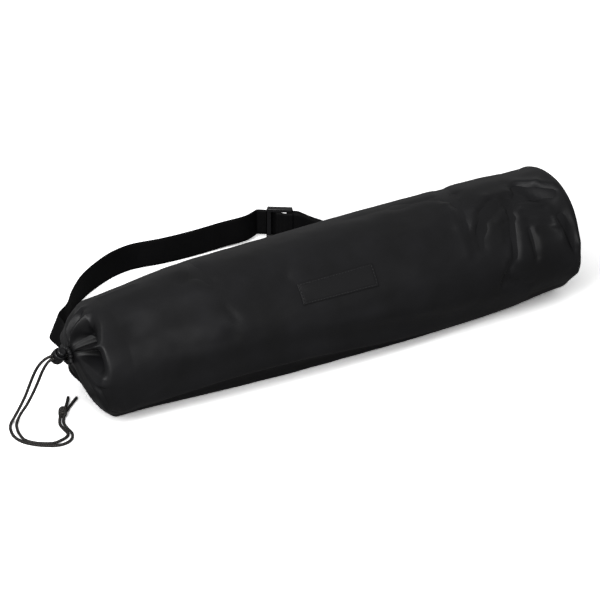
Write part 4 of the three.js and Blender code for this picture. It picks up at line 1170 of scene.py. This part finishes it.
fold_steps = 5
fold_along = rail_along - slider_rail / 2
short_stations = [on_short(fold_length * i / fold_steps, 2 * layer, 1) for i in range(fold_steps, -1, -1)]
short_stations += [by_bar(*place) for place in (
    (fold_along, layer), (fold_along - layer * 0.4, layer * 0.6), (fold_along - layer * 0.5, 0),
    (fold_along - layer * 0.4, -layer * 0.6), (fold_along, -layer))]
short_stations += [on_short(tail_length * i / tail_steps, 0, 0) for i in range(tail_steps)]
single = short_run[-1] - tail_length
single_steps = 18
short_stations += [on_short(tail_length + single * i / single_steps, 0, 0) for i in range(single_steps + 1)]
short_fine, short_at = webbing(short_stations, len(short_stations) - 1)
short_strap = ribbed("webbing_short", short_fine, short_at, polypropylene)


box_margin = 0.12
box_cuts = 20


def box_stitch(fine, at, start, end):
    """A sewn box with its two diagonals, between two distances along the webbing, on its outer face."""
    def on_face(run, t):
        i = int(np.clip(np.searchsorted(at, run), 0, len(at) - 1))
        low_in, low_out, high_out, high_in = fine[i]
        return low_out + (high_out - low_out) * t, low_out - low_in
    rows = []
    low, high = box_margin, 1 - box_margin
    corners = [(start, low), (end, low), (end, high), (start, high), (start, low), (end, high)]
    corners += [(end, low), (start, high)]
    for (a, s), (b, t) in zip(corners, corners[1:]):
        line = [on_face(a + (b - a) * k / box_cuts, s + (t - s) * k / box_cuts) for k in range(box_cuts + 1)]
        rows.append(stitch_row([p for p, way in line], [way for p, way in line]))
    return rows


# Sewn boxes, from and to: along the long strap, along the short one's fold, and back from its sewn end.
mouth_box = (6, 34)
fold_box = (3, fold_length - 5)
base_box = (32, 5)
long_strap = joined(long_strap, box_stitch(long_fine, long_at, *mouth_box))
short_strap = joined(short_strap, box_stitch(short_fine, short_at, *fold_box)
                     + box_stitch(short_fine, short_at, *[short_at[-1] - back for back in base_box]))
for strap, node in ((long_strap, "strap_long"), (short_strap, "strap_short")):
    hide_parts(node)
    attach(strap, "bag")

# Slider: a three-bar slide of moulded acetal. Two tall rails and a thinner bar stand between two thick,
# rounded ends, all one moulding, with every edge rounded over.
slider_height = strap_width + 2 * sliding_gap + 2 * slider_end_height
edge_round = 0.9


def block(name, along, low, high, length, thick):
    corners = [slider_middle + along_slider * (along + a * length / 2) + out_slider * (b * thick / 2)
               + Vector((0, 0, z)) for a in (-1, 1) for b in (-1, 1) for z in (low, high)]
    sides = [(0, 1, 3, 2), (4, 6, 7, 5), (0, 4, 5, 1), (2, 3, 7, 6), (0, 2, 6, 4), (1, 5, 7, 3)]
    return mesh_piece(name, corners, [side[::-1] for side in sides], acetal, False)


slider = block("strap_slide", 0, 0, slider_end_height, slider_length, slider_end_wall)
bar_low, bar_high = slider_end_height / 2, slider_height - slider_end_height / 2
others = [
    block("end", 0, slider_height - slider_end_height, slider_height, slider_length, slider_end_wall),
    block("bar", 0, bar_low, bar_high, slider_bar, slider_wall),
    block("rail", -rail_along, bar_low, bar_high, slider_rail, slider_wall),
    block("rail", rail_along, bar_low, bar_high, slider_rail, slider_wall),
]
for other in others:
    change = slider.modifiers.new(other.name, "BOOLEAN")
    change.operation = "UNION"
    change.object = other
rounding = slider.modifiers.new("round", "BEVEL")
rounding.width = edge_round * mm
rounding.segments = 4
rounding.limit_method = "ANGLE"
apply_changes(slider)
for other in others:
    bpy.data.objects.remove(other)
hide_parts("strap_slider")
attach(slider, "bag")


# Pale floor and a soft studio: a broad light on the mouth's side of the bag, a weaker one above it, a third
# low in front, and faint even light from all round. The floor is blown out to white, and sends little light
# back.
white, surface = new_material("pale_floor")
surface.inputs["Base Color"].default_value = (0.2, 0.2, 0.2, 1)
surface.inputs["Roughness"].default_value = 0.9
surface.inputs["Specular IOR Level"].default_value = 0
bright = add_node(white, "ShaderNodeBsdfDiffuse", {"Color": (2.0, 2.0, 2.0, 1)})
ray = add_node(white, "ShaderNodeLightPath")
seen = add_node(white, "ShaderNodeMixShader", links={0: ray.outputs["Is Camera Ray"], 1: surface.outputs[0],
                                                     2: bright.outputs[0]})
white.node_tree.links.new(seen.outputs[0], white.node_tree.nodes["Material Output"].inputs["Surface"])
floor_size = 6000
floor_height = -0.2
floor_corners = [(x * floor_size, y * floor_size, floor_height)
                 for x, y in ((-1, -1), (1, -1), (1, 1), (-1, 1))]
floor = mesh_piece("floor", floor_corners, [(0, 1, 2, 3)], white, False)
# The lights: power in watts, width and place in metres.
lit_place = Vector((0, 0, 0.05))
for name, power, width, place in (
        ("light_left", 50, 1.6, Vector((-1.9, -1.1, 1.6))),
        ("light_above", 18, 2.0, Vector((-0.7, -0.4, 2.6))),
        ("light_front", 22, 1.6, Vector((-0.5, -2.4, 1.0)))):
    light = bpy.data.objects.new(name, bpy.data.lights.new(name, "AREA"))
    light.data.energy = power
    light.data.size = width
    light.location = place
    light.rotation_euler = (lit_place - place).to_track_quat("-Z", "Y").to_euler()
    bpy.context.scene.collection.objects.link(light)
world = bpy.data.worlds.new("studio")
bpy.context.scene.world = world
world.use_nodes = True
world.node_tree.nodes["Background"].inputs["Color"].default_value = (1, 1, 1, 1)
world.node_tree.nodes["Background"].inputs["Strength"].default_value = 0.3
